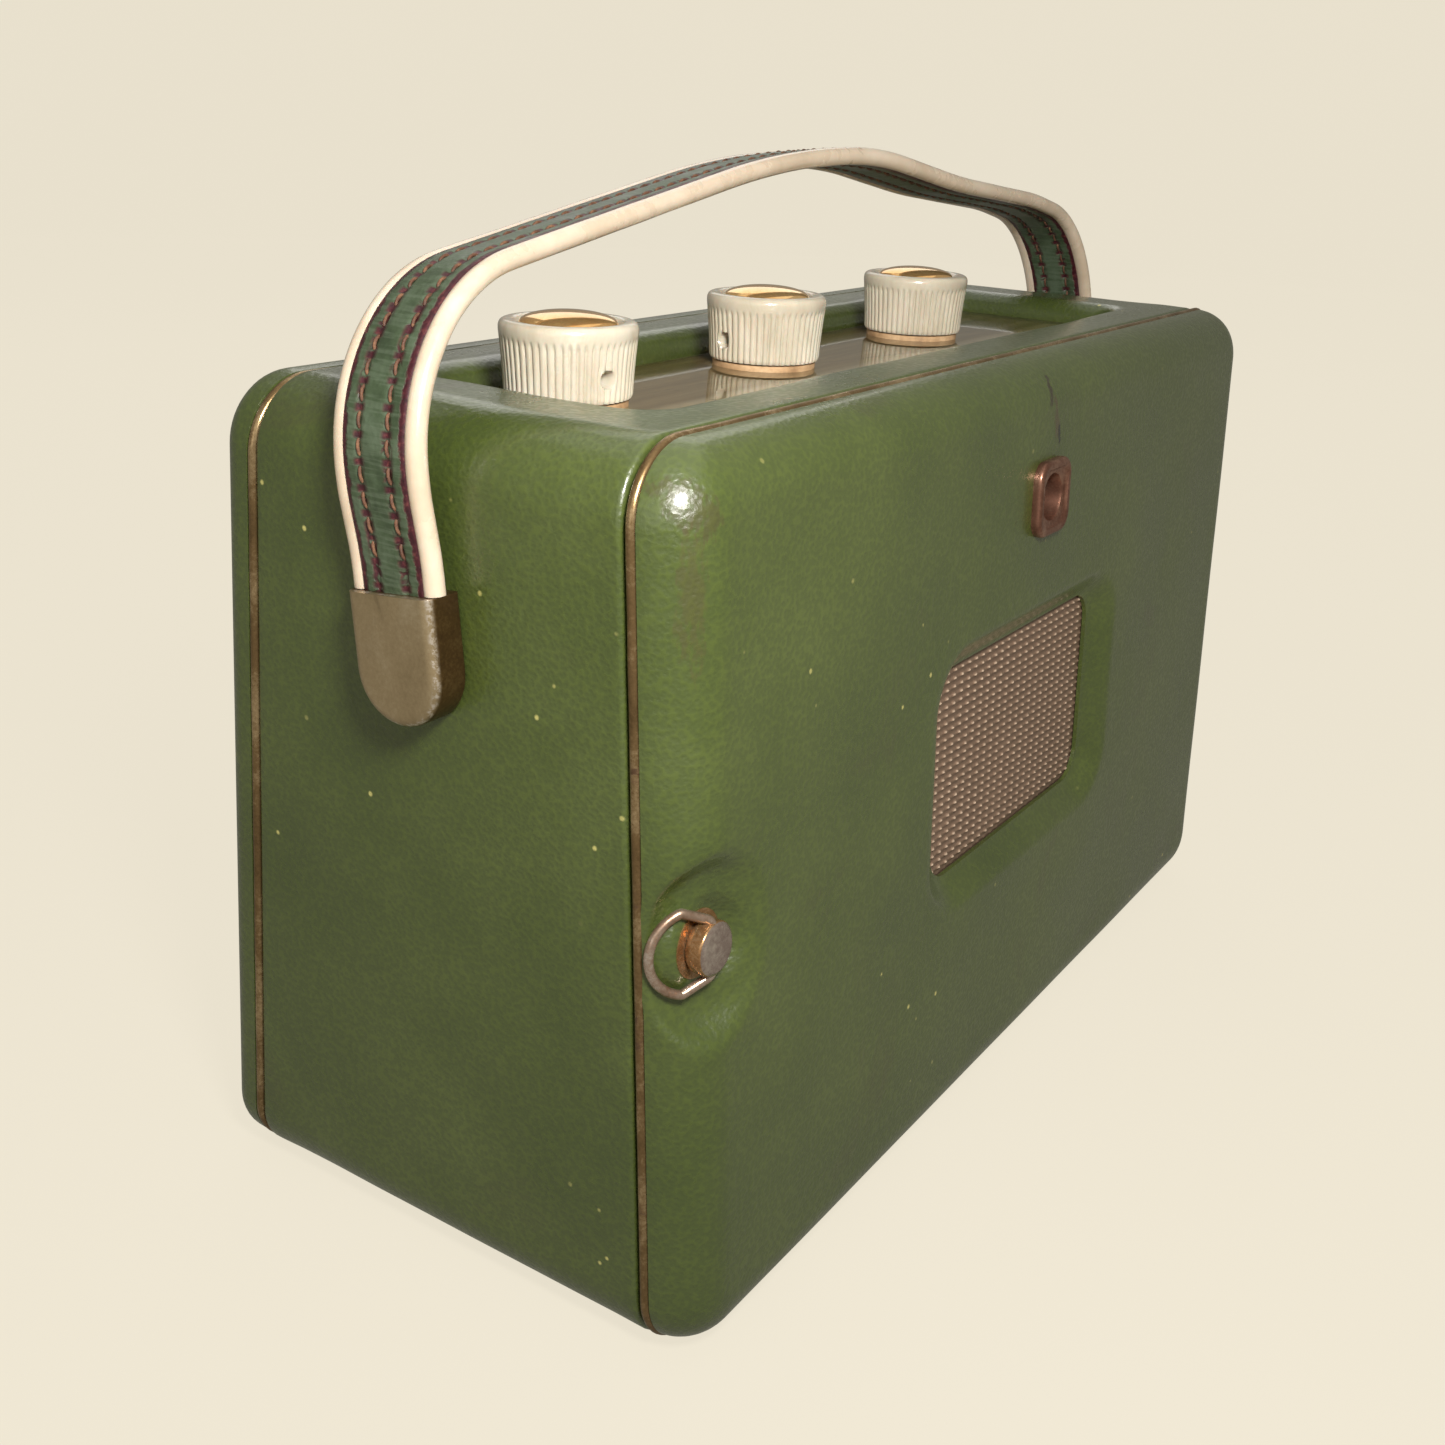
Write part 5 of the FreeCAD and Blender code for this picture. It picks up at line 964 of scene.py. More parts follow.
def make_door_rails():
    """The catch block and the hinge rail glued inside the door."""
    shape = Shape()
    glued, bevel = SKIN_BACK - 0.3, 0.5
    block(shape, (-HALF + 6.1, glued, STUD_UP - 22), (-HALF + 36, -DOOR_GAP - 0.05, STUD_UP + 22), bevel)
    block(shape, (HALF - 13.9, glued, DOOR_LOW + 7), (HALF - 6.1, -DOOR_GAP - 0.45, TALL - 7), bevel)
    return shape.build("door_rails", "door", [WOOD], place=REAR)


def make_front():
    """The front panel with its rounded edge and the loudspeaker opening."""
    low, high = 0.3, TALL - 0.2
    edge, normal = outline(-HALF, HALF, low, high, CORNER, ACROSS, UP, BEND)
    hole, hole_normal = outline(*SPEAKER_OPENING, SPEAKER_CORNER, ACROSS, UP, BEND)
    thick, roll = 10.5, 6.0
    rings = [ring_at(hole, hole_normal, 0.0, level) for level in (0.0, 3.5, 7.0)]
    for out, back in quarter(3.5, 8)[1:]:
        rings.append(ring_at(hole, hole_normal, back, 7.0 + out))
    rings += [lerp(rings[-1], ring_at(edge, normal, -roll, thick), t) for t in np.linspace(0.0, 1.0, 18)[1:]]
    for angle in np.radians(np.linspace(0.0, 90.0, 12)[1:]):
        rings.append(
            ring_at(edge, normal, roll * (math.sin(angle) - 1.0), thick - roll + roll * math.cos(angle)))
    outer = np.array(rings)
    x, z = outer[..., 0], outer[..., 2]
    border = np.minimum.reduce([HALF - np.abs(x), z - low, high - z])
    swell = uneven(outer, (0.12, 38.0, 5), (0.18, 110.0, 6)) * smooth(0.5, 9.0, border)
    outer[..., 1] += swell * smooth(7.0, 10.4, outer[..., 1])
    inner = [ring_at(edge, normal, offset, level) for offset, level in
             ((0.0, 3.2), (0.0, 2.2), (-0.3, 2.06), (-BEAD_DEEP, 2.04), (-BEAD_DEEP, 0.0))]
    back = [lerp(inner[-1], outer[0], t) for t in np.linspace(0.0, 1.0, 10)]
    shape = Shape()
    shape.grid(np.concatenate([outer, inner]), 0, close_columns=True)
    shape.grid(np.array(back), 1, close_columns=True)
    return shape.build(
        "front_cover", "case", [CLOTH, WOOD], ["front_panel"], weld=0.02, sharp=50.0,
        place=FRONT)


def bead_section(level, way):
    """(offset, level) points round a bead: a half round outside a flat tongue."""
    arc = [(-0.6 + math.sin(a), level + way * (1.0 - math.cos(a))) for a in np.linspace(0.0, math.pi, 9)]
    return [(-BEAD_DEEP + 0.05, level + way * 0.02)] + arc + [(-BEAD_DEEP + 0.05, level + way * 1.98)]


def make_bead(name, node, body, level, way, low, high, place, gaps=False):
    """The brass bead along a seam. With gaps, it is left out where the hinge barrels lie."""
    edge, normal = outline(-HALF, HALF, low, high, CORNER, ACROSS, UP, BEND)
    section = [ring_at(edge, normal, offset, at) for offset, at in bead_section(level, way)]
    rings = np.array(section).transpose(1, 0, 2)
    nudge = 0.05 * ripple(rings, 14.0, 8)
    away = np.stack([normal[:, 0], 0 * normal[:, 0], normal[:, 1]], axis=-1)
    rings = rings + away[:, None] * nudge[..., None]
    shape = Shape()
    if gaps:
        kept = ~((edge[:, 0] > HALF - 1.0) & hinge_rows(edge[:, 1]))
        start = int(np.argmax(~kept))
        run = []
        for index in np.roll(np.arange(len(kept)), -start).tolist() + [start]:
            if kept[index]:
                run.append(index)
            elif run:
                shape.capped_tube(rings[run])
                run = []
    else:
        shape.grid(rings, close_rows=True, close_columns=True)
    return shape.build(name, body, [SEAM], [node], place=place, sharp=60.0)


make_door()
make_door_rails()
make_front()
make_bead("door_bead_ring", "door_bead", "door", -DOOR_GAP, -1.0, DOOR_LOW, TALL, REAR, gaps=True)
make_bead("front_bead_ring", "front_bead", "case", 0.0, 1.0, 0.7, TALL - 0.4, FRONT)


# --- woven vent and grille ----------------------------------------------------------------------------

VENT_SHEET, GRILLE_SHEET = (90.0, 55.5), (230.0, 116.0)
GRILLE_UP, GRILLE_OPENING = 87.0, (230.4, 116.4)
CLOTH_CORNER, CLOTH_THICK = 8.0, 0.5


def weave(across, up, pitch):
    """How far threads stand up, from 0 to 1: weft threads along X with knots where the warp crosses them."""
    flat = np.stack([across, 0 * across, up], axis=-1)
    warp_turn = 2 * math.pi * (across + 0.12 * ripple(flat, 30.0, 11)) / pitch[0]
    weft_turn = 2 * math.pi * (up + 0.10 * ripple(flat, 24.0, 12)) / pitch[1]
    knot = np.clip(np.cos(warp_turn), 0, 1) ** 1.5 * np.clip(np.cos(weft_turn), 0, 1) ** 1.2
    return np.clip(0.78 * knot + 0.32 * (0.5 + 0.5 * np.cos(weft_turn)), 0, 1)


def round_corners(across, up, half_wide, half_tall, corner):
    """Pulls a sheet's points in from its square corners to rounded ones."""
    over_x = np.maximum(np.abs(across) - (half_wide - corner), 0.0)
    over_z = np.maximum(np.abs(up) - (half_tall - corner), 0.0)
    radius = np.hypot(over_x, over_z)
    pull = np.where(radius > corner, corner / np.maximum(radius, 1e-6), 1.0)
    return (np.sign(across) * (np.minimum(np.abs(across), half_wide - corner) + over_x * pull),
            np.sign(up) * (np.minimum(np.abs(up), half_tall - corner) + over_z * pull))


def cloth_panel(name, node, body, material, size, middle, base, way, pitch, height, samples, opening,
                place):
    """A stretched woven panel with raised knots, as a thin closed sheet. way is the outward side along Y."""
    wide, tall = size
    columns, rows = (int(round(size[k] / pitch[k] * samples[k])) for k in range(2))
    x = np.linspace(-wide / 2, wide / 2, columns + 1)
    z = np.linspace(middle - tall / 2, middle + tall / 2, rows + 1)
    gx, gz = np.meshgrid(x, z)
    inside = smooth(0.3, -0.5, np.maximum(
        np.abs(gx) - (opening[0] / 2 - 0.2), np.abs(gz - middle) - (opening[1] / 2 - 0.2)))
    across, up = round_corners(gx, gz - middle, wide / 2, tall / 2, CLOTH_CORNER)
    front = np.stack([across, base + way * height * weave(gx, gz, pitch) * inside, middle + up], axis=-1)
    rim = np.concatenate([front[0, :-1], front[:-1, -1], front[-1, :0:-1], front[:0:-1, 0]])
    behind = rim.copy()
    behind[:, 1] = base - way * CLOTH_THICK
    shape = Shape()
    shape.grid(front)
    shape.grid(np.stack([rim, behind]), close_columns=True)
    shape.fan(behind, (0.0, base - way * CLOTH_THICK, middle))
    panel = shape.build(name, body, [material], [node], place=place, weld=0.001, sharp=180.0)
    share = np.clip((local_points(panel, place)[:, 1] - base) * way / height, 0.0, 1.0)
    panel.data.attributes.new("raised", "FLOAT", "POINT").data.foreach_set("value", share.astype(np.float32))
    return panel


vent_cloth = cloth_panel(
    "vent_weave", "vent_mesh", "door", VENT_CLOTH, VENT_SHEET, VENT_UP, -7.45, -1.0,
    (3.5, 1.9), 0.75, (8, 7), (VENT_WIDE, VENT_TALL), REAR)
grille_cloth = cloth_panel(
    "grille_weave", "speaker_grille", "case", GRILLE_CLOTH, GRILLE_SHEET, GRILLE_UP, 1.35,
    1.0, (3.0, 2.2), 0.65, (5, 5), GRILLE_OPENING, FRONT)


# --- dial, washers and knobs --------------------------------------------------------------------------

KNOBS = (("volume", -105.0, 0.0), ("tuning", 165.0, 3.0), ("wave", 0.0, 1.0))
FLUTES = 54
FLUTE_DEEP = 0.52
KNOB_FOOT, KNOB_RIM, KNOB_BORE = 12.4, 13.4, 3.05
GRUB_UP, GRUB_HOLE, GRUB_DEEP = 4.6, 1.75, 4.2
GRUB_CORE, GRUB_REACH = 1.35, 3.4


def make_bezel():
    """The coppered ring round the window, with a rounded top edge."""
    low, high = box_mm("dial_bezel")
    edge, normal = outline(low[0], high[0], low[1], high[1], WELL_CORNER + 0.2, ACROSS, DEEP, BEND)
    top, base, roll, wide = high[2], low[2], 0.6, 2.0
    section = [(0.0, base), (0.0, top - 0.7)]
    section += [
        (roll * (math.cos(a) - 1), top - roll + roll * math.sin(a))
        for a in np.linspace(0.2, math.pi / 2, 5)]
    section += [(roll - wide - roll * math.sin(a), top - roll + roll * math.cos(a))
                for a in np.linspace(0.0, math.pi / 2, 6)]
    section += [(-wide, base)]
    shape = Shape()
    shape.grid([flat_ring(edge + normal * offset, level) for offset, level in section], close_rows=True,
               close_columns=True)
    return shape.build("dial_bezel_ring", "case", [COPPERED], ["dial_bezel"], sharp=50.0)


def make_washers():
    """The card washers under the knobs, a little dished and with softened rims."""
    shape = Shape()
    low, high = box_mm("knob_washers")
    for knob, _, _ in KNOBS:
        centre = joint_place(knob + "_turn")[0]
        profile = rounded_profile([(3.7, low[2], 0), (3.7, high[2] - 0.3, 0.15), (5.0, high[2] - 0.25, 0.6),
                                   (11.6, high[2] - 0.05, 0.3), (11.6, low[2], 0)], 3)
        rings = turned(profile, 72) + np.array([centre[0], centre[1], 0.0])
        shape.grid(rings, close_rows=True, close_columns=True)
    return shape.build("card_washers", "case", [CARD], ["knob_washers"], sharp=50.0)


def knob_rings(tall, flute_turn):
    """Rings of a knob's skirt, its rounded lip, the dish in its top and its bore, and the skirt's heights."""
    angles = np.linspace(0, 2 * math.pi, FLUTES * 10, endpoint=False)
    groove = (0.5 + 0.5 * np.cos(FLUTES * (angles - np.radians(flute_turn)))) ** 2.6

    def wall_radius(height):
        return KNOB_FOOT + (KNOB_RIM - KNOB_FOOT) * (height / (tall - 1.2)) ** 1.5

    heights = np.concatenate([[0.0, 0.25, 0.6], np.linspace(1.1, tall - 4.4, 26),
                              np.linspace(tall - 4.2, tall - 2.4, 7)])
    rings = []
    for height in heights:
        deep = FLUTE_DEEP * float(smooth(tall - 2.6, tall - 4.4, height))
        chamfer = 0.3 * (1 - height / 0.6) if height < 0.6 else 0.0
        rings.append(level_ring(angles, wall_radius(height) - groove * deep - chamfer, height))
    lip = rounded_profile([(wall_radius(tall - 2.2), tall - 2.2, 0), (KNOB_RIM - 0.05, tall, 1.7),
                           (10.6, tall - 0.05, 0.55), (9.72, tall - 1.0, 0.5), (9.7, tall - 2.35, 0)], 9)
    inside = [(6.0, tall - 2.4), (KNOB_BORE, tall - 2.4), (KNOB_BORE, 0.0), (8.0, 0.0)]
    rings += [level_ring(angles, radius, height) for radius, height in [*lip, *inside]]
    return np.array(rings), heights


def drill_grub_hole(skirt, heights, grub_turn):
    """The grub screw's hole: nearby skirt points slide to its round edge, and those inside it line it."""
    hole = math.radians(grub_turn)
    radius = np.hypot(skirt[..., 0], skirt[..., 1])
    bearing = np.arctan2(skirt[..., 1], skirt[..., 0])
    side = (np.mod(bearing - hole + math.pi, 2 * math.pi) - math.pi) * radius
    up = skirt[..., 2] - GRUB_UP
    away = np.hypot(side, up)
    outer_share = np.clip((away - GRUB_CORE) / (GRUB_REACH - GRUB_CORE), 0, 1)
    pushed = np.where(away < GRUB_REACH, GRUB_HOLE + (GRUB_REACH - GRUB_HOLE) * outer_share, away)
    inside = away < GRUB_CORE
    pushed = np.where(inside, GRUB_HOLE * np.clip(away / GRUB_CORE, 0, 1), pushed)
    scale = pushed / np.maximum(away, 1e-6)
    turn = hole + side * scale / radius
    depth = radius - np.where(inside, GRUB_DEEP * smooth(GRUB_CORE, 1.05, away), 0.0)
    moved = np.stack([depth * np.cos(turn), depth * np.sin(turn), up * scale + GRUB_UP], axis=-1)
    return np.where((away < GRUB_REACH)[..., None] & (heights > 0.2)[:, None, None], moved, skirt)


def make_dome(knob, place, tall, crown):
    """The gilt dome set in a knob's dished top."""
    profile = [(9.55, tall - 2.38), (9.58, tall - 1.25)]
    for angle in np.linspace(0.0, math.pi / 2, 26):
        rise = (crown - tall + 1.0) * math.sin(angle) ** 0.86
        profile.append((max(9.5 * math.cos(angle), 0.001), tall - 1.0 + rise))
    shape = Shape()
    shape.capped_tube(turned(profile, 96))
    shape.build(
        knob + "_dome_cap", knob, [GILT], [knob + "_knob_dome"], weld=0.006, place=place,
        sharp=60.0)


def make_knob(knob, grub_turn, flute_turn):
    """A fluted ivory knob with a dished top, its grub screw hole, and the gilt dome set in it."""
    centre = joint_place(knob + "_turn")[0]
    low, high = box_mm(knob + "_knob")
    foot, tall = low[2], high[2] - low[2]
    place = ((centre[0], centre[1], foot), 0.0)
    rings, heights = knob_rings(tall, flute_turn)
    skirt = rings[:len(heights)]
    rings[:len(heights)] = drill_grub_hole(skirt, heights, grub_turn)
    shape = Shape()
    shape.grid(rings, close_rows=True, close_columns=True)
    shape.build(
        knob + "_knob_skirt", knob, [IVORY], [knob + "_knob"], weld=0.002, place=place,
        sharp=45.0)
    make_dome(knob, place, tall, box_mm(knob + "_knob_dome")[1][2] - foot)


def make_dial_marks():
    """Generic scale marks on the dial card: two rules and their ticks, as thin raised ink."""
    top = box_mm("dial_plate")[1][2]
    shape = Shape()

    def bar(x, y, wide, deep):
        x0, x1, y0, y1 = x - wide / 2, x + wide / 2, y - deep / 2, y + deep / 2
        corners = np.array([(x0, y0), (x1, y0), (x1, y1), (x0, y1)])
        shape.capped_tube([flat_ring(corners, top + level) for level in (0.01, 0.05)])

    for count, y in ((41, -19.0), (29, -14.0)):
        for step in range(count):
            long = step % 5 == 0
            bar(lerp(-68.0, 68.0, step / (count - 1)), y + (0.8 if long else 0.0), 0.35, 3.4 if long else 1.8)
        bar(0.0, y - 1.6, 140.0, 0.3)
    return shape.build("dial_marks", "case", [INK], sharp=30.0)


make_bezel()
make_washers()
for knob, grub_turn, flute_turn in KNOBS:
    make_knob(knob, grub_turn, flute_turn)
make_dial_marks()


# --- handle -------------------------------------------------------------------------------------------

STRAP_WIDE, STRAP_THICK = 15.6, 3.6
STRAP_SIDE = 144.6
CAP_WIDE = 19.6
STITCH_START = 13.0
PIPING_OUT, PIPING_RADIUS = 8.3, 1.9
STRAP_BENDS = (
    (-STRAP_SIDE, 20.0, 60.0),
    (-STRAP_SIDE - 1.3, 31.0, 40.0),
    (-146.8, 62.6, 33.0),
    (-28.0, 83.2, 300.0),
    (12.3, 83.9, 150.0),
    (56.0, 76.5, 300.0),
    (103.7, 71.5, 120.0),
    (137.2, 64.7, 33.5),
    (STRAP_SIDE + 1.2, 31.0, 30.0),
    (STRAP_SIDE, 20.0, 60.0),
)


def strap_path(start, end, step=0.9):
    """The strap's middle line in the handle's X and rise: straight runs joined by arcs, cut evenly."""
    corners = [start] + [np.array(bend[:2]) for bend in STRAP_BENDS] + [end]
    corners = [np.array(corner, float) for corner in corners]
    radii = [0.0] + [bend[2] for bend in STRAP_BENDS] + [0.0]
    path = [corners[0]]
    for before, corner, after, radius in zip(corners, corners[1:], corners[2:], radii[1:]):
        one = (before - corner) / np.linalg.norm(before - corner)
        two = (after - corner) / np.linalg.norm(after - corner)
        half = math.acos(float(np.clip(-one @ two, -1, 1))) / 2
        run = radius * math.tan(half)
        middle = corner + (one + two) / np.linalg.norm(one + two) * radius / math.cos(half)
        first = corner + one * run - middle
        turn = math.copysign(2 * half, float(one[0] * two[1] - one[1] * two[0]) * -1)
        for t in np.linspace(0, 1, 25):
            c, s = math.cos(turn * t), math.sin(turn * t)
            path.append(middle + np.array([c * first[0] - s * first[1], s * first[0] + c * first[1]]))
    path.append(corners[-1])
    path = np.array(path)
    length = np.concatenate([[0.0], np.cumsum(np.linalg.norm(np.diff(path, axis=0), axis=1))])
    even = np.linspace(0.0, length[-1], int(length[-1] / step) + 1)
    return np.column_stack([np.interp(even, length, path[:, 0]), np.interp(even, length, path[:, 1])]), even


def outward(path):
    """Outward normals along the strap."""
    tangent = np.gradient(path, axis=0)
    tangent /= np.linalg.norm(tangent, axis=1)[:, None]
    return np.stack([-tangent[:, 1], tangent[:, 0]], axis=-1)


def handle_points(x, y, rise):
    """Points of the handle's own upright frame; leaned() then puts them in the part's frame."""
    return np.stack(np.broadcast_arrays(x, y, rise), axis=-1)


def strap_section():
    """The strap's section as across and level: soft edges, a crowned middle and a groove along each row."""
    half = STRAP_WIDE / 2
    across = np.concatenate([np.linspace(-half, -half + 1.2, 6), np.linspace(-half + 1.5, half - 1.5, 47),
                             np.linspace(half - 1.2, half, 6)])
    face = STRAP_THICK / 2 - 0.9 * np.clip((np.abs(across) - (half - 1.2)) / 1.2, 0, 1) ** 2
    face -= 0.34 * np.exp(-((np.abs(across) - STITCH_ROW) / 0.62) ** 2)
    face += 0.16 * np.cos(across / half * math.pi / 2)
    return np.concatenate([across, across[::-1]]), np.concatenate([face - 0.12, -face[::-1] + 0.12])


def make_band(path, along, out):
    """The strap itself, dented by its stitches. Each vertex carries its place along and across the strap."""
    section, levels = strap_section()
    dents = np.exp(-((np.abs(section) - STITCH_ROW) / 0.8) ** 2)
    beat = 0.16 * np.clip(-np.cos(2 * math.pi * along / STITCH_PITCH), 0, 1)
    level = levels - np.sign(levels) * dents * beat[:, None]
    x = path[:, 0, None] + out[:, 0, None] * level
    rise = path[:, 1, None] + out[:, 1, None] * level
    shape = Shape()
    shape.capped_tube(handle_points(x, section, rise))
    band = shape.build("strap_leather_band", "handle", [STRAP], ["handle_strap"], weld=0.001,
                       place=HANDLE, sharp=60.0)
    local = local_points(band, HANDLE)
    gap = (local[:, None, 0] - path[None, :, 0]) ** 2 + (local[:, None, 2] - path[None, :, 1]) ** 2
    values = np.column_stack([along[gap.argmin(axis=1)], local[:, 1], 0 * local[:, 1]]).astype(np.float32)
    places = band.data.attributes.new("strap_place", "FLOAT_VECTOR", "POINT")
    places.data.foreach_set("vector", values.ravel())


def make_stitches(path, along, out):
    """Short sagging stitches on both faces along both rows, each a little out of line."""
    shape = Shape()
    for row in (-STITCH_ROW, STITCH_ROW):
        for number in range(int((along[-1] - 2 * STITCH_START) / STITCH_PITCH)):
            slip = 0.25 * float(DRAW.normal())
            middle = STITCH_START + (number + 0.5) * STITCH_PITCH + 0.2 * slip
            steps = np.linspace(-1.25, 1.25, 9) + middle
            sag = np.sqrt(np.clip(1.0 - ((steps - middle) / 1.3) ** 2, 0, 1))
            across = row + 0.12 * slip + np.linspace(-0.1, 0.1, 9)
            for way in (1.0, -1.0):
                level = way * (STRAP_THICK / 2 - 0.62 + 0.58 * sag)
                x, rise = (np.interp(steps, along, path[:, k]) + np.interp(steps, along, out[:, k]) * level
                           for k in (0, 1))
                shape.capped_tube(tube_rings(handle_points(x, across, rise), 0.30 + 0.03 * abs(slip), 8))
    shape.build("strap_stitches", "handle", [THREAD], place=HANDLE, sharp=60.0)


def make_piping():
    """The cream piping along both edges of the strap."""
    shape = Shape()
    path, along = strap_path((-STRAP_SIDE, 14.1), (STRAP_SIDE, 14.1), 1.2)
    wander = 0.12 * ripple(np.stack([path[:, 0], 0 * along, path[:, 1]], axis=-1), 60.0, 21)
    for across in (-PIPING_OUT, PIPING_OUT):
        middle = handle_points(path[:, 0], across + wander, path[:, 1])
        shape.capped_tube(tube_rings(middle, PIPING_RADIUS + 0.03 * ripple(middle, 18.0, 22), 24))
    shape.build(
        "strap_piping", "handle", [PIPING], ["handle_piping"], place=HANDLE, sharp=60.0)


def make_strap():
    """The strap, its stitches, and the piping along both sides."""
    path, along = strap_path((-STRAP_SIDE, 6.5), (STRAP_SIDE, 6.5))
    out = outward(path)
    make_band(path, along, out)
    make_stitches(path, along, out)
    make_piping()


def make_caps():
    """The cast end caps: flat faced and half round below, with a soft edge all round but along the top."""
    high = box_mm("handle_caps")[1]
    thick, rise, roll, inner_edge = 8.0, 14.0, 2.2, 0.8
    half = CAP_WIDE / 2
    edge = outline(-half, half, -half, rise, (half - 0.02, 0.01, 0.01, half - 0.02), 14, 40, 24)[0]
    steps = [(out - inner_edge, back) for out, back in quarter(inner_edge, 4)]
    steps += [(out - roll, thick - back) for out, back in reversed(quarter(roll, 10))]
    steps += [(-roll - 1.5, thick), (-roll - 4.0, thick)]
    shape = Shape()
    for side in (-1.0, 1.0):
        rings = []
        for offset, level in steps:
            scale = (half + offset) / half
            pitted = 1.0 + 0.006 * ripple(flat_ring(edge, level), 5.0, 31)
            across = edge[:, 0] * scale * np.where(offset > -0.05, pitted, 1.0)
            up = edge[:, 1] * np.where(edge[:, 1] < 0.0, scale, 1.0)
            x = np.full(len(edge), side * (high[0] - thick + level))
            rings.append(handle_points(x, across, up))
        shape.capped_tube(rings)
    return shape.build(
        "cast_end_caps", "handle", [CAP_METAL], ["handle_caps"], place=HANDLE, sharp=55.0)


make_strap()
make_caps()


# --- socket bezel and catch ---------------------------------------------------------------------------

def make_socket_bezel():
    """A square bezel whose bevelled rim falls to a dished round mouth, with its tube."""
    half = 8.5
    edge, normal = outline(-half, half, SOCKET_UP - half, SOCKET_UP + half, 4.2, 24, 24, 10)
    angles = np.arctan2(edge[:, 1] - SOCKET_UP, edge[:, 0])
    ring = np.column_stack([np.cos(angles), np.sin(angles)])

    def round_ring(radius, level):
        return np.stack(
            [ring[:, 0] * radius, np.full(len(ring), level), SOCKET_UP + ring[:, 1] * radius], axis=-1)

    face = -DOOR_THICK - 2.3
    seat = -DOOR_THICK - 0.02
    rings = [round_ring(6.0, SKIN_BACK), round_ring(6.0, seat), ring_at(edge, normal, -0.1, seat),
             ring_at(edge, normal, 0.0, face + 1.2)]
    for angle in np.radians(np.linspace(20, 90, 6)):
        rings.append(ring_at(edge, normal, -1.0 + math.cos(angle), face + 1.0 - math.sin(angle)))
    last = ring_at(edge, normal, -1.8, face + 0.06)
    rings.append(last)
    mouth = round_ring(5.9, face + 0.75)
    rings += [
        lerp(last, mouth, t) + np.array([0, 0.25 * math.sin(math.pi * t), 0])
        for t in np.linspace(0.0, 1.0, 7)[1:]]
    rings += [round_ring(5.35, face + 1.05), round_ring(5.2, face + 1.6), round_ring(5.2, SKIN_BACK + 0.02)]
    shape = Shape()
    shape.grid(rings, close_rows=True, close_columns=True)
    return shape.build(
        "socket_bezel_ring", "door", [COPPERED], ["socket_bezel"], place=REAR, sharp=40.0)


def revolve_y(profile, centre, steps=64):
    """Rings turned about the rear frame's Y through (x, z): profile is (radius, level)."""
    angles = np.linspace(0, 2 * math.pi, steps, endpoint=False)
    return np.array([
        np.stack([centre[0] + r * np.cos(angles), np.full(steps, level), centre[1] + r * np.sin(angles)],
                 axis=-1)
        for r, level in profile
    ])


def make_catch():
    """The pull stud with its bevelled head, neck and rounded inner end."""
    centre = (STUD_X, STUD_UP)
    head = rounded_profile([
        (0.01, -12.0, 0), (4.2, -12.0, 0.25), (5.1, -11.35, 0.35), (5.1, -8.7, 0.7), (4.3, -7.8, 0.3),
        (2.0, -7.75, 0), (2.0, 1.2, 0.6), (2.4, 3.4, 1.2), (2.0, 5.6, 1.0), (0.01, 6.4, 0)], 6)
    shape = Shape()
    rings = revolve_y(head, centre, 72)
    face_rings = int(np.argmax(head[:, 1] > -11.5))
    shape.fan(rings[0], rings[0].mean(axis=0))
    shape.grid(rings[:face_rings + 1], close_columns=True)
    shape.grid(rings[face_rings:], 1, close_columns=True)
    shape.fan(rings[-1], rings[-1].mean(axis=0), 1)
    shape.build(
        "pull_stud", "door", [STUD, STUD_SIDE], ["catch_stud"], place=REAR, sharp=30.0)


make_socket_bezel()
make_catch()


RING_DRAPE = -31.0
RING_LEVEL = 2.6 - DOOR_THICK


def make_ring_piece():
    """The wire ring as it hangs: a bow whose two arms close in on the stud, and a leg through it."""
    half, reach, waist, bend, wire = 8.1, 12.0, 5.3, 1.3, 0.9
    straight = reach - half
    bow = [(half * math.cos(a) - straight, half * math.sin(a)) for a in np.radians(np.linspace(104, 256, 56))]
    lower = rounded_profile([(*bow[-1], 0), (0.0, -waist, bend), (0.0, 0.0, 0)], 6)
    leg = np.column_stack([np.zeros(9), np.linspace(bend - waist, waist - bend, 9)])
    upper = lower[1:-1][::-1] * np.array([1.0, -1.0])
    arms = [lerp(np.array(bow[-1]), lower[1], t) for t in np.linspace(0, 1, 8)[1:-1]]
    other_arm = [point * np.array([1.0, -1.0]) for point in arms[::-1]]
    points = np.vstack([bow, arms, lower[1:-1], leg[1:-1], upper, other_arm])
    ahead = np.roll(points, -1, axis=0) - np.roll(points, 1, axis=0)
    ahead /= np.linalg.norm(ahead, axis=1)[:, None]
    out = np.column_stack([ahead[:, 1], -ahead[:, 0]])
    drape = math.radians(RING_DRAPE)
    along = np.array([math.cos(drape), math.sin(drape), 0.0])
    across = np.array([-math.sin(drape), math.cos(drape), 0.0])
    up = np.array([0.0, 0.0, 1.0])
    origin = np.array([STUD_X, RING_LEVEL, STUD_UP])
    angles = np.linspace(0, 2 * math.pi, 20, endpoint=False)
    rings = []
    for point, normal in zip(points, out):
        centre = origin + point[0] * along + point[1] * up
        away = normal[0] * along + normal[1] * up
        rings.append(centre + wire * (np.cos(angles)[:, None] * away + np.sin(angles)[:, None] * across))
    shape = Shape()
    shape.grid(rings, close_rows=True, close_columns=True)
    return shape.build(
        "pull_ring_wire", "ring", [WIRE], ["catch_ring"], place=REAR, weld=0.001)


make_ring_piece()


# --- the carried CAD nodes ----------------------------------------------------------------------------

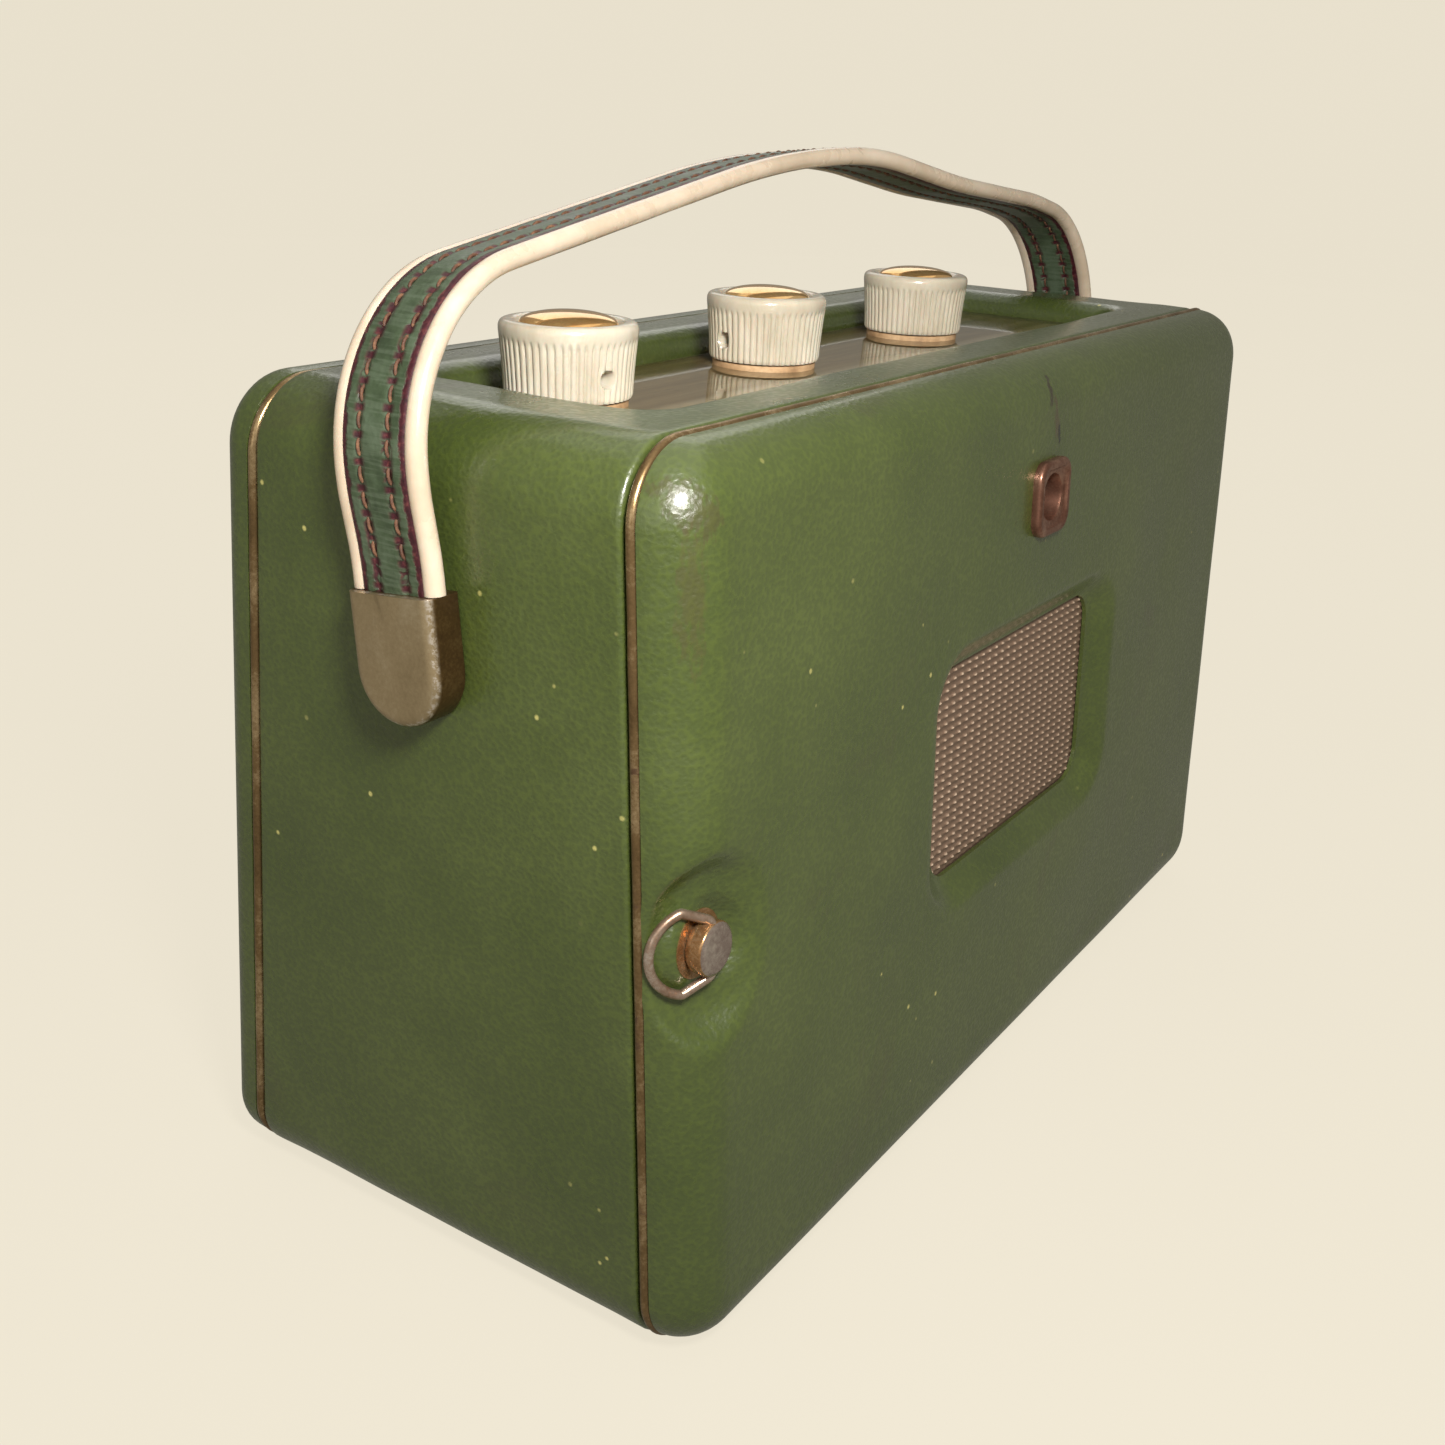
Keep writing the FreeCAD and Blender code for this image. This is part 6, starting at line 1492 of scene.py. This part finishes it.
FINISHES = {
    "baffle_board": WOOD, "speaker_basket": STEEL, "speaker_cone": CONE, "speaker_magnet": MAGNET,
    "dial_window": ACRYLIC, "dial_plate": DIAL, "chassis_plate": STEEL, "chassis_brackets": STEEL,
    "circuit_board": BOARD, "if_transformer_cans": ALUMINIUM, "audio_transformers": IRON,
    "transistors": LACQUER, "electrolytic_capacitors": ALUMINIUM, "volume_control": STEEL,
    "wave_switch": MOULDED, "tuning_capacitor_frame": ALUMINIUM, "tuning_rotor": ALUMINIUM,
    "ferrite_rod": FERRITE, "aerial_coils": COIL, "aerial_rod_holders": MOULDED, "aerial_socket": MOULDED,
    "battery": JACKET, "battery_connectors": MOULDED, "battery_tray": FIBRE, "hinge_case_leaves": HINGE,
    "hinge_door_leaves": HINGE, "hinge_pins": HINGE, "hinge_door_screws": SCREW, "case_screws": SCREW,
    "catch_clip": STEEL, "catch_bush": STUD_SIDE, "handle_pivot_studs": SCREW, "vent_mesh_frame": MOULDED,
    "volume_shaft": STEEL, "wave_shaft": STEEL, "volume_knob_grub_screw": SCREW,
    "tuning_knob_grub_screw": SCREW, "wave_knob_grub_screw": SCREW
}
SOFTENED = {
    "speaker_basket": 0.4, "speaker_magnet": 0.8, "if_transformer_cans": 0.5, "audio_transformers": 0.4,
    "battery": 1.2, "battery_tray": 0.3, "tuning_capacitor_frame": 0.3, "chassis_brackets": 0.2,
    "catch_clip": 0.2, "volume_control": 0.3, "wave_switch": 0.3, "battery_connectors": 0.3,
    "aerial_rod_holders": 0.4
}
for node, material in FINISHES.items():
    carried = frame["nodes"][node]
    carried.data.materials.clear()
    carried.data.materials.append(material)
    if node in SOFTENED:
        bevel = carried.modifiers.new("soft_edges", "BEVEL")
        bevel.width = SOFTENED[node] * MM
        bevel.segments = 2
        bevel.limit_method = "ANGLE"
        bevel.angle_limit = math.radians(40)
frame["nodes"]["dial_window"].visible_shadow = False


# --- floor, light and camera --------------------------------------------------------------------------

def make_stage():
    """A round pale floor, and a backdrop of the same paper that sweeps up from its rim on every side."""
    rim, turn, top, sides, sink = 2.2, 0.7, 2.6, 96, 0.0002
    sweep = [(rim + turn * math.sin(a), turn * (1 - math.cos(a))) for a in np.radians(np.linspace(0, 90, 14))]
    n = Nodes("studio_paper")
    paper = n.noise(3.0, 4.0)
    n.shader(
        Base_Color=n.ramp(paper, (0.3, (66, 64, 59)), (0.7, (69, 67, 62))), Roughness=0.9,
        Specular_IOR_Level=0.1, Emission_Color=linear((234, 226, 207)), Emission_Strength=0.96)
    angles = np.linspace(0, 2 * math.pi, sides, endpoint=False)
    for name, profile in (("studio_floor", [(0.001, 0.0), (rim, 0.0)]),
                          ("studio_backdrop", sweep + [(rim + turn, top)])):
        rows = np.array([level_ring(angles, r, level - sink) for r, level in profile])
        shape = Shape()
        shape.grid(rows, close_columns=True)
        mesh = bpy.data.meshes.new(name)
        mesh.from_pydata(shape.points[0].tolist(), [], shape.faces)
        mesh.polygons.foreach_set("use_smooth", [True] * len(mesh.polygons))
        mesh.materials.append(n.material)
        paper_piece = bpy.data.objects.new(name, mesh)
        bpy.context.scene.collection.objects.link(paper_piece)
        paper_piece.visible_glossy = False
        paper_piece.visible_diffuse = name == "studio_floor"
        paper_piece.visible_shadow = name == "studio_floor"


def lamp(name, place, aim, size, power, colour):
    """A square soft light at a place, turned to an aim."""
    light = bpy.data.lights.new(name, "AREA")
    light.shape = "SQUARE"
    light.size = size
    light.energy = power
    light.color = colour
    made = bpy.data.objects.new(name, light)
    made.location = place
    made.rotation_euler = (Vector(aim) - Vector(place)).to_track_quat("-Z", "Y").to_euler()
    made.visible_camera = False
    bpy.context.scene.collection.objects.link(made)


make_stage()
lamp("key_softbox", (-0.275, -0.218, 0.320), (-0.01, -0.03, 0.10), 0.065, 2.0, (1.0, 0.97, 0.93))
lamp("overhead_softbox", (0.1, 0.1, 1.3), (0.0, 0.0, 0.0), 1.4, 3.6, (1.0, 0.99, 0.97))
lamp("far_card", (0.9, 0.7, 0.9), (0.0, 0.0, 0.15), 0.8, 2.4, (1.0, 0.98, 0.94))
lamp("left_fill", (-1.3, -0.1, 0.5), (0.0, 0.0, 0.08), 0.9, 2.0, (1.0, 0.98, 0.95))

world = bpy.data.worlds.new("studio_world")
world.use_nodes = True
background = world.node_tree.nodes["Background"]
background.inputs[0].default_value = linear((238, 232, 216))
background.inputs[1].default_value = 0.3
bpy.context.scene.world = world
bpy.context.scene.view_settings.view_transform = "Standard"

# the camera's place and directions, fitted to the object's outlines in the photograph
camera_data = bpy.data.cameras.new("studio_camera")
camera_data.sensor_width = 36.0
camera_data.lens = 40.06
camera_data.clip_start = 0.01
camera = bpy.data.objects.new("studio_camera", camera_data)
place = (-0.3364954, -0.1915566, 0.2244524)
right = Vector((0.555445, -0.830514, 0.041562))
down = Vector((-0.280158, -0.233959, -0.931007))
forward = Vector((0.782939, 0.505479, -0.362626))
turn = Matrix((right, -down, -forward)).transposed().to_4x4()
camera.matrix_world = Matrix.Translation(place) @ turn
bpy.context.scene.collection.objects.link(camera)
bpy.context.scene.camera = camera
